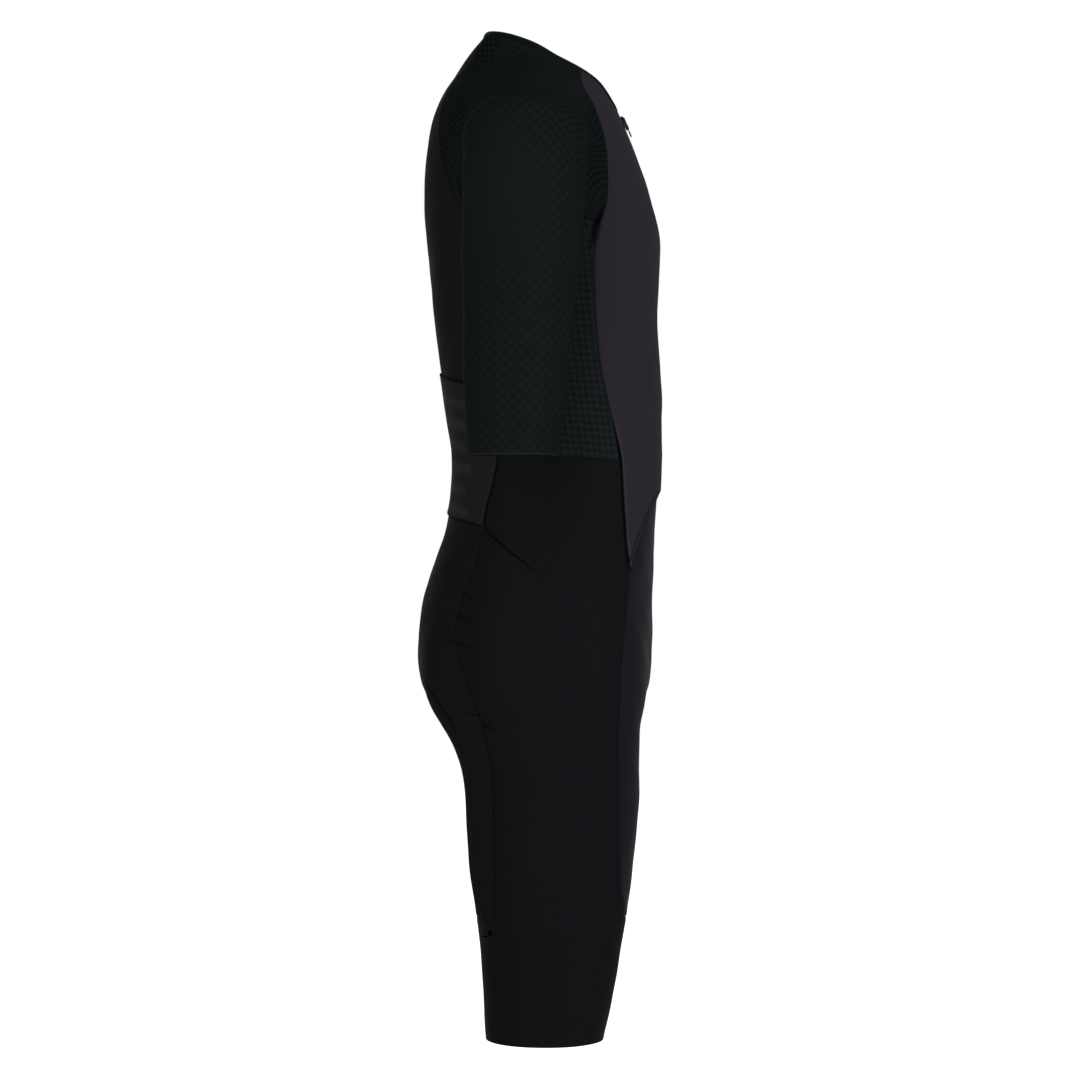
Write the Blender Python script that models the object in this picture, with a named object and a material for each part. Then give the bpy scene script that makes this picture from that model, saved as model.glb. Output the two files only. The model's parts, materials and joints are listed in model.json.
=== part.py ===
"""Cycling skinsuit: short raglan sleeves, a full-length front zip, rear pocket and fitted shorts.

The cloth is a set of sewn panels on one smooth hollow form. The form is worked out from short
tables of sections, the seams from short tables of places on it. Each panel is a grid between
its seams, pressed onto the form and given a wall. Metres; the front faces -Y, +Z is up and the
origin is in the neck opening. Tables are for the wearer's left (+X) and are mirrored.
"""
import math
import bpy
import bmesh
import numpy as np

# ---- driving sizes ----
WALL = 0.0015            # thickness of one layer of cloth
SEAM_GAP = 0.0003        # left between neighbouring pieces
UNDERARM_GAP = 0.0008    # the same for the sleeve and side panel, which fold at the armpit
LAYER = WALL + 0.0004    # how far the pocket is moved out from the back it lies on
FRONT_LAYER = WALL + 0.0011   # how far the jersey front is moved out over the shorts
HEM_Z = -0.962           # leg hem
BAND_Z = -0.843          # top of the leg band
CROTCH_Z = -0.668        # lowest point between the legs
LEG_FROM_Z = -0.610      # below this the seams are found from the leg's own axis
MID_Y = 0.010            # plane between the front and the back halves of the sections
LOW_Y = -0.006           # y of the lowest point between the legs and of the inner leg seams
LEG_AXIS_X = 0.0965      # middle of the leg band
ZIP_HALF = 0.0048        # half the width of the zip chain
ZIP_PROUD = 0.0009       # how far the chain stands out of the cloth
BINDING_HEIGHT = 0.0032  # neck binding above the panels' edge
BINDING_WALL = 0.0022
SLIDER_TOP_Z = -0.0575   # upper end of the zip slider, at the closed end of the zip
SLIDER_LENGTH, SLIDER_WIDTH, SLIDER_HEIGHT = 0.0120, 0.0086, 0.0022
SLIDER_TAPER = 0.22      # share of its width that it loses towards its lower end
EAR_INNER, EAR_OUTER = 0.0017, 0.0029      # from the centre plane
EAR_FROM, EAR_REACH, EAR_HEIGHT = 0.0100, 0.0029, 0.0036
PIVOT_DOWN, PIVOT_OUT = 0.0136, 0.0022     # from the slider's upper end and from the chain
PULL_TOP, PULL_SHOULDER, PULL_LENGTH = 0.0007, 0.0023, 0.0092    # along the tab from its pivot
PULL_NECK, PULL_WIDE, PULL_THICK = 0.00125, 0.0026, 0.0011       # half widths, and thickness
SIDE_COLUMNS = 6         # columns of the grid between the front and the back side seam
HALF_COLUMNS = 7         # columns from a side seam to the centre line
SLEEVE_COLUMNS = 16
ARMPIT_OUT, ARMPIT_ABOVE = 0.024, -0.125    # the armpit is found straight below this line
FOLD_LIFT = 0.010        # how far the sleeve's rows rise over the folds beside the armpit
FOLD_OUT = 0.8           # and move out there, as a share of it
RAGLAN_ROWS = 9          # rows from the neck to the underarm
UNDERARM_ROWS = 3        # rows of the sleeve round the underarm
SIDE_ROWS = 8            # rows from the underarm to the waist
ARM_ROWS = 9             # rows of the closed sleeve down to the cuff
BAND_ROWS = 4

# ---- sections of the form: a row for each level ----
TORSO = np.array([
    # z, half width, front y, back y, roundness
    (+0.060, 0.055, -0.046, 0.047, 2.00),
    (+0.024, 0.059, -0.052, 0.0545, 2.00),
    (+0.008, 0.064, -0.058, 0.068, 2.00),
    (-0.006, 0.071, -0.062, 0.078, 2.00),
    (-0.020, 0.096, -0.065, 0.087, 1.90),
    (-0.036, 0.130, -0.070, 0.097, 1.85),
    (-0.054, 0.150, -0.0775, 0.105, 1.85),
    (-0.075, 0.150, -0.087, 0.110, 1.95),
    (-0.105, 0.148, -0.0985, 0.114, 2.15),
    (-0.140, 0.145, -0.1095, 0.115, 2.35),
    (-0.175, 0.145, -0.1185, 0.1135, 2.50),
    (-0.215, 0.149, -0.1185, 0.1095, 2.50),
    (-0.260, 0.150, -0.1165, 0.1055, 2.50),
    (-0.310, 0.146, -0.1195, 0.0985, 2.40),
    (-0.350, 0.142, -0.1210, 0.0930, 2.40),
    (-0.390, 0.140, -0.1190, 0.0872, 2.40),
    (-0.430, 0.142, -0.1175, 0.0872, 2.40),
    (-0.465, 0.148, -0.1148, 0.0925, 2.40),
    (-0.500, 0.155, -0.1130, 0.104, 2.40),
    (-0.540, 0.162, -0.1117, 0.116, 2.40),
    (-0.580, 0.166, -0.1115, 0.1210, 2.40),
    (-0.620, 0.166, -0.1095, 0.1185, 2.30),
    (-0.660, 0.158, -0.1000, 0.102, 2.20),
    (-0.700, 0.146, -0.0860, 0.082, 2.10)])
LEG = np.array([
    # z, axis x, half width, front y, back y
    (-0.540, 0.0850, 0.0500, -0.0700, 0.0800),
    (-0.600, 0.0870, 0.0700, -0.0950, 0.1040),
    (-0.640, 0.0880, 0.0770, -0.0975, 0.1020),
    (-0.660, 0.0890, 0.0780, -0.0965, 0.0935),
    (-0.680, 0.0895, 0.0777, -0.0963, 0.0842),
    (-0.700, 0.0900, 0.0765, -0.0963, 0.0770),
    (-0.730, 0.0910, 0.0735, -0.0963, 0.0722),
    (-0.770, 0.0920, 0.0700, -0.0933, 0.0706),
    (-0.810, 0.0935, 0.0665, -0.0883, 0.0669),
    (-0.850, 0.0945, 0.0635, -0.0825, 0.0610),
    (-0.890, 0.0955, 0.0605, -0.0755, 0.0563),
    (-0.930, 0.0965, 0.0585, -0.0687, 0.0543),
    (-0.966, 0.0970, 0.0570, -0.0610, 0.0520),
    (-1.010, 0.0975, 0.0560, -0.0560, 0.0500)])
LEG_ROUNDNESS = 2.1
ARM = np.array([
    # distance down the arm, half width, half depth
    (0.000, 0.0530, 0.0585),
    (0.040, 0.0525, 0.0575),
    (0.080, 0.0505, 0.0562),
    (0.125, 0.0480, 0.0545),
    (0.170, 0.0460, 0.0518),
    (0.215, 0.0440, 0.0490),
    (0.265, 0.0415, 0.0455),
    (0.310, 0.0390, 0.0410),
    (0.350, 0.0370, 0.0385)])
ARM_TOP = np.array([0.188, 0.013, -0.103])
ARM_CAP = 0.040              # height of the arm's rounded top above that point
ARM_END = np.array([0.270, 0.0255, -0.405])
ARM_BLEND = np.array([
    # z, how widely the arm runs into the body
    (-0.200, 0.010), (-0.184, 0.020), (-0.171, 0.044), (-0.158, 0.054), (-0.060, 0.070)])

# ---- seams: a row for each place ----
NECKLINE = np.array([
    # degrees round the neck from the front, z
    (0, -0.0530), (25, -0.0475), (48, -0.0310), (64, -0.0205), (81, -0.0080),
    (101, 0.0045), (123, 0.0140), (151, 0.0205), (180, 0.0230)])
NECK_FRONT, NECK_BACK = 64.0, 151.0     # where the raglan seams leave the neckline
FRONT_RAGLAN = np.array([
    # z, y
    (-0.0436, -0.0434), (-0.0596, -0.0521), (-0.0726, -0.0568), (-0.0854, -0.0606),
    (-0.0981, -0.0635), (-0.1200, -0.0653), (-0.1440, -0.0652), (-0.1690, -0.0603),
    (-0.1760, -0.0574)])
BACK_RAGLAN = np.array([
    # z, x
    (0.0000, 0.0400), (-0.0300, 0.0500), (-0.0550, 0.0600), (-0.0770, 0.0710), (-0.1010, 0.0870),
    (-0.1280, 0.1050), (-0.1510, 0.1180), (-0.1610, 0.1230), (-0.1680, 0.1270)])
FRONT_SEAM = np.array([
    # z, y
    (-0.1760, -0.0574), (-0.1850, -0.0540), (-0.2160, -0.0520), (-0.2720, -0.0534),
    (-0.3090, -0.0574), (-0.3410, -0.0642), (-0.3690, -0.0711), (-0.4040, -0.0775),
    (-0.4300, -0.0789), (-0.4690, -0.0808), (-0.5100, -0.0852), (-0.5450, -0.0836),
    (-0.5850, -0.0794), (-0.6270, -0.0763), (-0.6730, -0.0753), (-0.7180, -0.0753),
    (-0.7910, -0.0757), (-0.8200, -0.0772), (-0.8430, -0.0800)])
BACK_SEAM = np.array([
    # z, y
    (-0.2000, 0.0660), (-0.2500, 0.0570), (-0.3000, 0.0480), (-0.3500, 0.0415),
    (-0.3980, 0.0401), (-0.4230, 0.0440), (-0.4420, 0.0488), (-0.4680, 0.0540),
    (-0.4940, 0.0592), (-0.5240, 0.0706), (-0.5470, 0.0783), (-0.5770, 0.0805),
    (-0.6010, 0.0751), (-0.6190, 0.0674), (-0.6400, 0.0607), (-0.6620, 0.0541),
    (-0.6820, 0.0484), (-0.7180, 0.0456), (-0.7540, 0.0447), (-0.8430, 0.0437)])
SHOULDER_LINE = np.array([
    # x, z, y: along the top of the shoulder and down the outside of the arm
    (0.066, 0.006, 0.008), (0.095, -0.010, 0.012), (0.125, -0.023, 0.013), (0.155, -0.034, 0.013),
    (0.185, -0.043, 0.013), (0.212, -0.057, 0.013), (0.231, -0.075, 0.013), (0.241, -0.096, 0.014),
    (0.247, -0.120, 0.015), (0.252, -0.145, 0.016), (0.256, -0.165, 0.016), (0.260, -0.183, 0.017),
    (0.264, -0.200, 0.017), (0.300, -0.403, 0.025)])
RAGLAN_END, UNDERARM_END = 7, 10   # rows of the table level with the raglan seams' ends
CUFF_Z = -0.403
WAIST_FRONT_Z, WAIST_BACK_Z = -0.404, -0.398
JERSEY_HEM_Z = -0.432        # at the centre front
JERSEY_HEM_SIDE_Z = -0.510   # at the side seam
HEM_BOW = 2.6               # 1 for a straight slope between the two
SHORTS_TOP_Z = -0.395        # the shorts' front reaches this far up under the jersey
OVERLAP_Z = -0.360           # from here down the jersey front is moved out over the shorts
BACK_HEM_Z = -0.454          # pocket and seat seam at the centre back
BACK_HEM_SIDE_Z = -0.467
POCKET_TOP_ROW = 14          # the pocket begins between this row of the back and the next:
POCKET_TOP_CENTRE, POCKET_TOP_SIDE = 0.08, 0.75   # the share of the way, centre and side


def smoothTable(table, key):
    """Every column of a table after the first, read smoothly at the values in key."""
    rows = table[np.argsort(table[:, 0])]
    at = rows[:, 0]
    key = np.clip(key, at[0], at[-1])
    k = np.clip(np.searchsorted(at, key) - 1, 0, len(at) - 2)
    slope = np.gradient(rows[:, 1:], at, axis=0)
    span = (at[k + 1] - at[k])[..., None]
    s = (key - at[k])[..., None] / span
    low, high = rows[k, 1:], rows[k + 1, 1:]
    return (low * (2 * s**3 - 3 * s**2 + 1) + slope[k] * span * (s**3 - 2 * s**2 + s)
            + high * (3 * s**2 - 2 * s**3) + slope[k + 1] * span * (s**3 - s**2))


def sectionDistance(u, v, halfU, halfV, power):
    """About how far a point is outside a rounded section, measured from the section's middle."""
    r = np.hypot(u, v) + 1e-9
    ratio = (np.abs(u / halfU) ** power + np.abs(v / halfV) ** power) ** (1 / power) + 1e-9
    return r * (1 - 1 / ratio)


def softMin(a, b, blend):
    h = np.clip(0.5 + 0.5 * (b - a) / blend, 0, 1)
    return b * (1 - h) + a * h - blend * h * (1 - h)


def form(p):
    """Below 0 inside the form that the suit lies on, above 0 outside."""
    x, y, z = np.abs(p[..., 0]), p[..., 1], p[..., 2]
    t = smoothTable(TORSO, z)
    depth = np.where(y < MID_Y, MID_Y - t[..., 1], t[..., 2] - MID_Y)
    torso = sectionDistance(x, y - MID_Y, t[..., 0], depth, t[..., 3])
    torso = -softMin(-torso, z - CROTCH_Z, 0.050)
    g = smoothTable(LEG, z)
    leg = sectionDistance(x - g[..., 0], y - (g[..., 2] + g[..., 3]) / 2,
                          g[..., 1], (g[..., 3] - g[..., 2]) / 2, LEG_ROUNDNESS)
    leg = np.where(z > LEG[0, 0], 0.05, leg)
    axis = (ARM_END - ARM_TOP) / np.linalg.norm(ARM_END - ARM_TOP)
    side = np.cross((0.0, 1.0, 0.0), axis)
    side /= np.linalg.norm(side)
    q = np.stack([x, y, z], -1) - ARM_TOP
    along = q @ axis
    a = smoothTable(ARM, np.maximum(along, 0))
    u, v, w = q @ side, q @ np.cross(axis, side), np.minimum(along, 0)
    ratio = np.sqrt((u / a[..., 0])**2 + (v / a[..., 1])**2 + (w / ARM_CAP)**2) + 1e-9
    arm = np.sqrt(u * u + v * v + w * w) * (1 - 1 / ratio)
    armBlend = np.interp(z, *ARM_BLEND.T)
    return softMin(softMin(torso, leg, 0.024), arm, armBlend)


def gradient(p, h=0.0004):
    g = np.empty_like(p)
    for i in range(3):
        d = np.zeros(3)
        d[i] = h
        g[..., i] = (form(p + d) - form(p - d)) / (2 * h)
    return g


def normals(p):
    g = gradient(p)
    g[np.abs(p[..., 0]) < 1e-5, 0] = 0
    return g / np.linalg.norm(g, axis=-1, keepdims=True)


def press(p, steps=10):
    """Moves points onto the form. Points on the centre plane stay on it."""
    p = p.copy()
    centre = np.abs(p[..., 0]) < 1e-5
    for _ in range(steps):
        g = gradient(p)
        g[centre, 0] = 0
        d = g * (-form(p) / ((g * g).sum(-1) + 1e-12))[..., None]
        length = np.linalg.norm(d, axis=-1, keepdims=True)
        p += d * np.minimum(1, 0.01 / (length + 1e-12))
    return p


def castOut(origin, direction, reach=0.30, step=0.006):
    """The first places where rays from inside the form leave it."""
    origin, direction = np.broadcast_arrays(np.asarray(origin, float), np.asarray(direction, float))
    low = np.zeros(len(origin))
    high = np.full(len(origin), np.nan)
    for s in np.arange(step, reach, step):
        outside = form(origin + direction * s) > 0
        high[np.isnan(high) & outside] = s
        low = np.where(np.isnan(high), s, low)
    high = np.where(np.isnan(high), reach, high)
    for _ in range(20):
        mid = (low + high) / 2
        outside = form(origin + direction * mid[:, None]) > 0
        low, high = np.where(outside, low, mid), np.where(outside, mid, high)
    return origin + direction * ((low + high) / 2)[:, None]


def columnsOf(*parts):
    return np.stack(np.broadcast_arrays(*parts), -1).astype(float)


def castSide(y, z, startX=0.0):
    return castOut(columnsOf(startX, y, z), (1.0, 0.0, 0.0))


def castRound(degrees, z, x=0.0, y=-0.005):
    a = np.radians(degrees)
    return castOut(columnsOf(x, y, z + 0 * a), columnsOf(np.sin(a), -np.cos(a), 0 * a))


def respace(points, count, power=1.0):
    """The same path with count even steps, pressed onto the form between its points."""
    length = np.concatenate([[0], np.cumsum(np.linalg.norm(np.diff(points, axis=0), axis=1))])
    at = length[-1] * np.linspace(0, 1, count + 1) ** power
    out = smoothTable(np.column_stack([length, points]), at)
    out[0], out[-1] = points[0], points[-1]
    out[1:-1] = press(out[1:-1])
    return out


def join(*paths):
    """Paths put end to end; each starts where the one before stops."""
    return np.concatenate([paths[0]] + [p[1:] for p in paths[1:]])


def coons(top, bottom, left, right):
    """A grid of points between four paths; left and right run from top to bottom."""
    s = np.linspace(0, 1, len(top))[None, :, None]
    t = np.linspace(0, 1, len(left))[:, None, None]
    return (top * (1 - t) + bottom * t + left[:, None] * (1 - s) + right[:, None] * s
            - top[0] * (1 - s) * (1 - t) - top[-1] * s * (1 - t)
            - bottom[0] * (1 - s) * t - bottom[-1] * s * t)


def panel(top, bottom, left, right, relax=12):
    """The grid pressed onto the form, its inner points evened out."""
    p = coons(top, bottom, left, right)
    p[1:-1, 1:-1] = press(p[1:-1, 1:-1])
    for _ in range(relax):
        p[1:-1, 1:-1] = (p[:-2, 1:-1] + p[2:, 1:-1] + p[1:-1, :-2] + p[1:-1, 2:]) / 4
        p[1:-1, 1:-1] = press(p[1:-1, 1:-1], 2)
    return p


# ---- seams on the form ----

def neckPath(start, end, count):
    a = np.linspace(start, end, count + 1)
    p = castRound(a, smoothTable(NECKLINE.astype(float), a)[:, 0])
    p[np.isclose(a % 180, 0), 0] = 0
    return p


def frontRaglanPath():
    z, y = FRONT_RAGLAN.T
    path = np.concatenate([neckPath(NECK_FRONT, NECK_FRONT + 1, 1)[:1], castSide(y, z)])
    return respace(path, RAGLAN_ROWS)


def backRaglanPath():
    z, x = BACK_RAGLAN.T
    down = castOut(columnsOf(x, 0.02, z), (0.0, 1.0, 0.0))
    path = np.concatenate([neckPath(NECK_BACK, NECK_BACK + 1, 1)[:1], down])
    return respace(path, RAGLAN_ROWS)


def underarmPath(front, back):
    """From the end of the front raglan seam through the armpit to the end of the back one."""
    s = np.linspace(-1, 1, 2 * UNDERARM_ROWS + 1)[:, None]
    path = front * (1 - s) / 2 + back * (1 + s) / 2
    path[:, 0] += (ARMPIT_OUT * (1 - s * s) ** np.where(s < 0, 1.4, 1.0))[:, 0]
    path[:, 2] = ARMPIT_ABOVE
    path = castOut(path, (0.0, 0.0, -1.0), reach=0.14, step=0.003)
    path[0], path[-1] = front, back
    return path


def sidePath(table, zs):
    y = smoothTable(table, zs)[:, 0]
    return castSide(y, zs, np.where(zs < LEG_FROM_Z, 0.09, 0.0))


def steps(*ends):
    """Levels from pairs of (end level, number of steps), after the first level."""
    out = [np.array([ends[0]])]
    for stop, count in ends[1:]:
        out.append(np.linspace(out[-1][-1], stop, count + 1)[1:])
    return np.concatenate(out)


def crossPath(start, end, count):
    """The line across the form between two places, pressed onto it."""
    s = np.linspace(0, 1, count + 1)[:, None]
    return respace(press(start * (1 - s) + end * s), count)


def hemPath(start, end, count):
    """The jersey front's hem: level beside the zip, and steeper towards the side seam."""
    path = crossPath(start, end, count)
    share = np.linspace(0, 1, count + 1)
    path[:, 2] = start[2] + (end[2] - start[2]) * share ** HEM_BOW
    path[1:-1] = press(path[1:-1])
    return respace(path, count)


def centrePath(side, zs):
    """Down the centre line of the front (-1) or the back (+1)."""
    p = castOut(columnsOf(0.0, 0.0, zs), (0.0, float(side), 0.0))
    p[:, 0] = 0
    return p


def underPath(side, topZ, count):
    """From the centre line under the body to the lowest point between the legs."""
    top = centrePath(side, np.array([topZ]))[0]
    a = np.linspace(0, math.pi / 2, 9)
    guess = columnsOf(0.0, LOW_Y + (top[1] - LOW_Y) * np.cos(a), topZ + (CROTCH_Z - topZ) * np.sin(a))
    return respace(press(guess), count)


def innerLegPath(start, count):
    zs = np.linspace(start[2], BAND_Z, count + 1)[1:]
    inner = castOut(columnsOf(0.092, LOW_Y, zs), (-1.0, 0.0, 0.0))
    return np.concatenate([start[None], inner])


# ---- walls ----

def gridFaces(rows, cols, first=0, wrap=False):
    """Quads of a grid of points, seen from outside; wrap joins the last column to the first."""
    stride = cols if wrap else cols + 1
    faces = []
    for i in range(rows):
        for j in range(cols):
            a, b = first + i * stride + j, first + i * stride + (j + 1) % stride
            faces.append((a, a + stride, b + stride, b))
    return faces


def boundaryEdges(faces):
    edges = {}
    for f in faces:
        for a, b in zip(f, f[1:] + f[:1]):
            edges[(a, b)] = True
    return [(a, b) for a, b in edges if (b, a) not in edges]


def pullIn(points, normal, faces, distance):
    """Moves the free edges of a sheet inwards along it, so that neighbours stay apart."""
    into = [[] for _ in points]
    for a, b in boundaryEdges(faces):
        t = points[b] - points[a]
        for v in (a, b):
            side = np.cross(normal[v], t)
            into[v].append(side / np.linalg.norm(side))
    moved = points.copy()
    for v, sides in enumerate(into):
        if sides:
            total = sum(sides)
            moved[v] += total * distance / max(0.3, total @ sides[0])
    return moved


def addObject(name, points, faces, finish):
    mesh = bpy.data.meshes.new(name)
    mesh.from_pydata([tuple(p) for p in points], [], faces)
    mesh.shade_smooth()
    mesh.set_sharp_from_angle(angle=math.radians(50))
    obj = bpy.data.objects.new(name, mesh)
    bpy.context.scene.collection.objects.link(obj)
    mesh.materials.append(finish)
    return obj


def addWall(name, points, faces, finish, out=0.0, wall=WALL, gap=SEAM_GAP, mirrored=False):
    """A sheet of cloth as a closed solid: its outer face lies `out` from the form."""
    normal = normals(points)
    sheet = pullIn(points, normal, faces, gap / 2)
    outer = sheet + normal * np.reshape(out, (-1, 1))
    inner = outer - normal * wall
    n = len(points)
    solid = []
    for f in faces:
        for tri in (f[:3], (f[0],) + f[2:]) if len(f) == 4 else (f,):
            solid.append(tri)
            solid.append(tuple(v + n for v in reversed(tri)))
    for a, b in boundaryEdges(faces):
        solid += [(b, a, a + n), (b, a + n, b + n)]
    both = np.concatenate([outer, inner])
    if mirrored:
        both = both * np.array([-1, 1, 1])
        solid = [tuple(reversed(f)) for f in solid]
    return addObject(name, both, solid, finish)


def addPair(name, points, faces, finish, **sizes):
    addWall(name + "_left", points, faces, finish, **sizes)
    addWall(name + "_right", points, faces, finish, mirrored=True, **sizes)


def wholeWidth(half):
    """The grid of one half, columns from the centre line out, with its mirror image joined on."""
    return np.concatenate([half[:, :0:-1] * np.array([-1, 1, 1]), half], axis=1)


def finish(name, colour, roughness, metallic=0.0):
    mat = bpy.data.materials.new(name)
    mat.use_nodes = True
    shader = mat.node_tree.nodes["Principled BSDF"]
    shader.inputs["Base Color"].default_value = (*colour, 1)
    shader.inputs["Roughness"].default_value = roughness
    shader.inputs["Metallic"].default_value = metallic
    return mat


# ---- pieces ----

def buildSleeve(frontSeam, backSeam, underarm, cloth):
    """Rows cross the sleeve from its front edge over the shoulder to its back edge. Below the
    underarm the two edges meet and the rows are closed rings."""
    middle = UNDERARM_ROWS
    front = join(frontSeam, underarm[:middle + 1])
    back = join(backSeam, underarm[::-1][:middle + 1])
    openRows = len(front) - 1
    ridge = SHOULDER_LINE[:, [0, 2, 1]]
    ridge[1:-1] = press(ridge[1:-1])
    ridge[0] = neckPath(100.0, 101.0, 1)[0]
    length = np.concatenate([[0], np.cumsum(np.linalg.norm(np.diff(ridge, axis=0), axis=1))])
    rowAt = steps(0.0, (length[RAGLAN_END], RAGLAN_ROWS), (length[UNDERARM_END], middle))
    top = press(smoothTable(np.column_stack([length, ridge]), rowAt))
    rows = [neckPath(NECK_FRONT, NECK_BACK, SLEEVE_COLUMNS)]
    for i in range(1, openRows + 1):
        lift = FOLD_LIFT * min(1, i / RAGLAN_ROWS) * (i < openRows)
        rows.append(arcRow(front[i], top[i], back[i], SLEEVE_COLUMNS, lift))
    under = front[-1]
    rows[openRows] = rows[openRows][:-1]
    for s in np.linspace(0, 1, ARM_ROWS + 1)[1:]:
        topZ, underZ = (z * (1 - s) + CUFF_Z * s for z in (top[-1][2], under[2]))
        rows.append(armRow(topZ, underZ, SLEEVE_COLUMNS)[:-1])
    flat = np.concatenate(rows)
    faces = []
    starts = np.cumsum([0] + [len(r) for r in rows])
    for i in range(len(rows) - 1):
        upper, lower = starts[i], starts[i + 1]
        nu, nl = len(rows[i]), len(rows[i + 1])
        for j in range(SLEEVE_COLUMNS):
            a, b = upper + j, upper + (j + 1) % nu
            c, d = lower + (j + 1) % nl, lower + j
            faces.append((a, d, c, b))
    addPair("sleeve", flat, faces, cloth, gap=UNDERARM_GAP)


def arcRow(start, top, end, count, lift=0.0):
    """Even points on the circle through three places, pressed onto the form. Where the row
    closes, start and end are one place and the circle's middle is half way to the top. lift
    raises it between its ends and its top, over the folds before and behind the armpit."""
    half = count // 2
    if np.linalg.norm(end - start) < 1e-6:
        middle = (start + top) / 2
        toTop, toEnd = math.pi, 2 * math.pi
        e2 = np.array([0.0, -1.0, 0.0])
    else:
        a, b = start - top, end - top
        cross = np.cross(a, b)
        middle = top + np.cross((a @ a) * b - (b @ b) * a, cross) / (2 * cross @ cross)
        e1 = start - middle
        e2 = np.cross(cross, e1)
        e2 /= np.linalg.norm(e2)
        toTop, toEnd = (math.atan2((p - middle) @ e2, (p - middle) @ e1 / np.linalg.norm(e1))
                        % (2 * math.pi) for p in (top, end))
        if toTop > toEnd:
            e2 = -e2
            toTop, toEnd = 2 * math.pi - toTop, 2 * math.pi - toEnd
    e1 = start - middle
    r = np.linalg.norm(e1)
    at = np.concatenate([np.linspace(0, toTop, half + 1), np.linspace(toTop, toEnd, half + 1)[1:]])
    row = middle + np.cos(at)[:, None] * e1 + r * np.sin(at)[:, None] * e2
    rise = np.abs(np.sin(np.linspace(0, 2 * math.pi, count + 1))) ** 0.5
    row += lift * rise[:, None] * np.array([FOLD_OUT, 0.0, 1.0])
    row[1:-1] = press(row[1:-1])
    row[0], row[-1] = start, end
    return row


def armRow(outerZ, innerZ, count):
    """A closed ring round the arm, from the inside over the front, the outside and the back."""
    axis = (ARM_END - ARM_TOP) / np.linalg.norm(ARM_END - ARM_TOP)
    centreZ = (outerZ + innerZ) / 2
    centre = ARM_TOP + axis * (centreZ - ARM_TOP[2]) / axis[2]
    across = np.array([0.08, 0.0, outerZ - innerZ])
    across /= np.linalg.norm(across)
    a = np.linspace(0, 2 * math.pi, count + 1)[:, None]
    rays = -np.cos(a) * across + np.sin(a) * np.array([0.0, -1.0, 0.0])
    return castOut(np.broadcast_to(centre, rays.shape), rays, reach=0.1, step=0.002)


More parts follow.
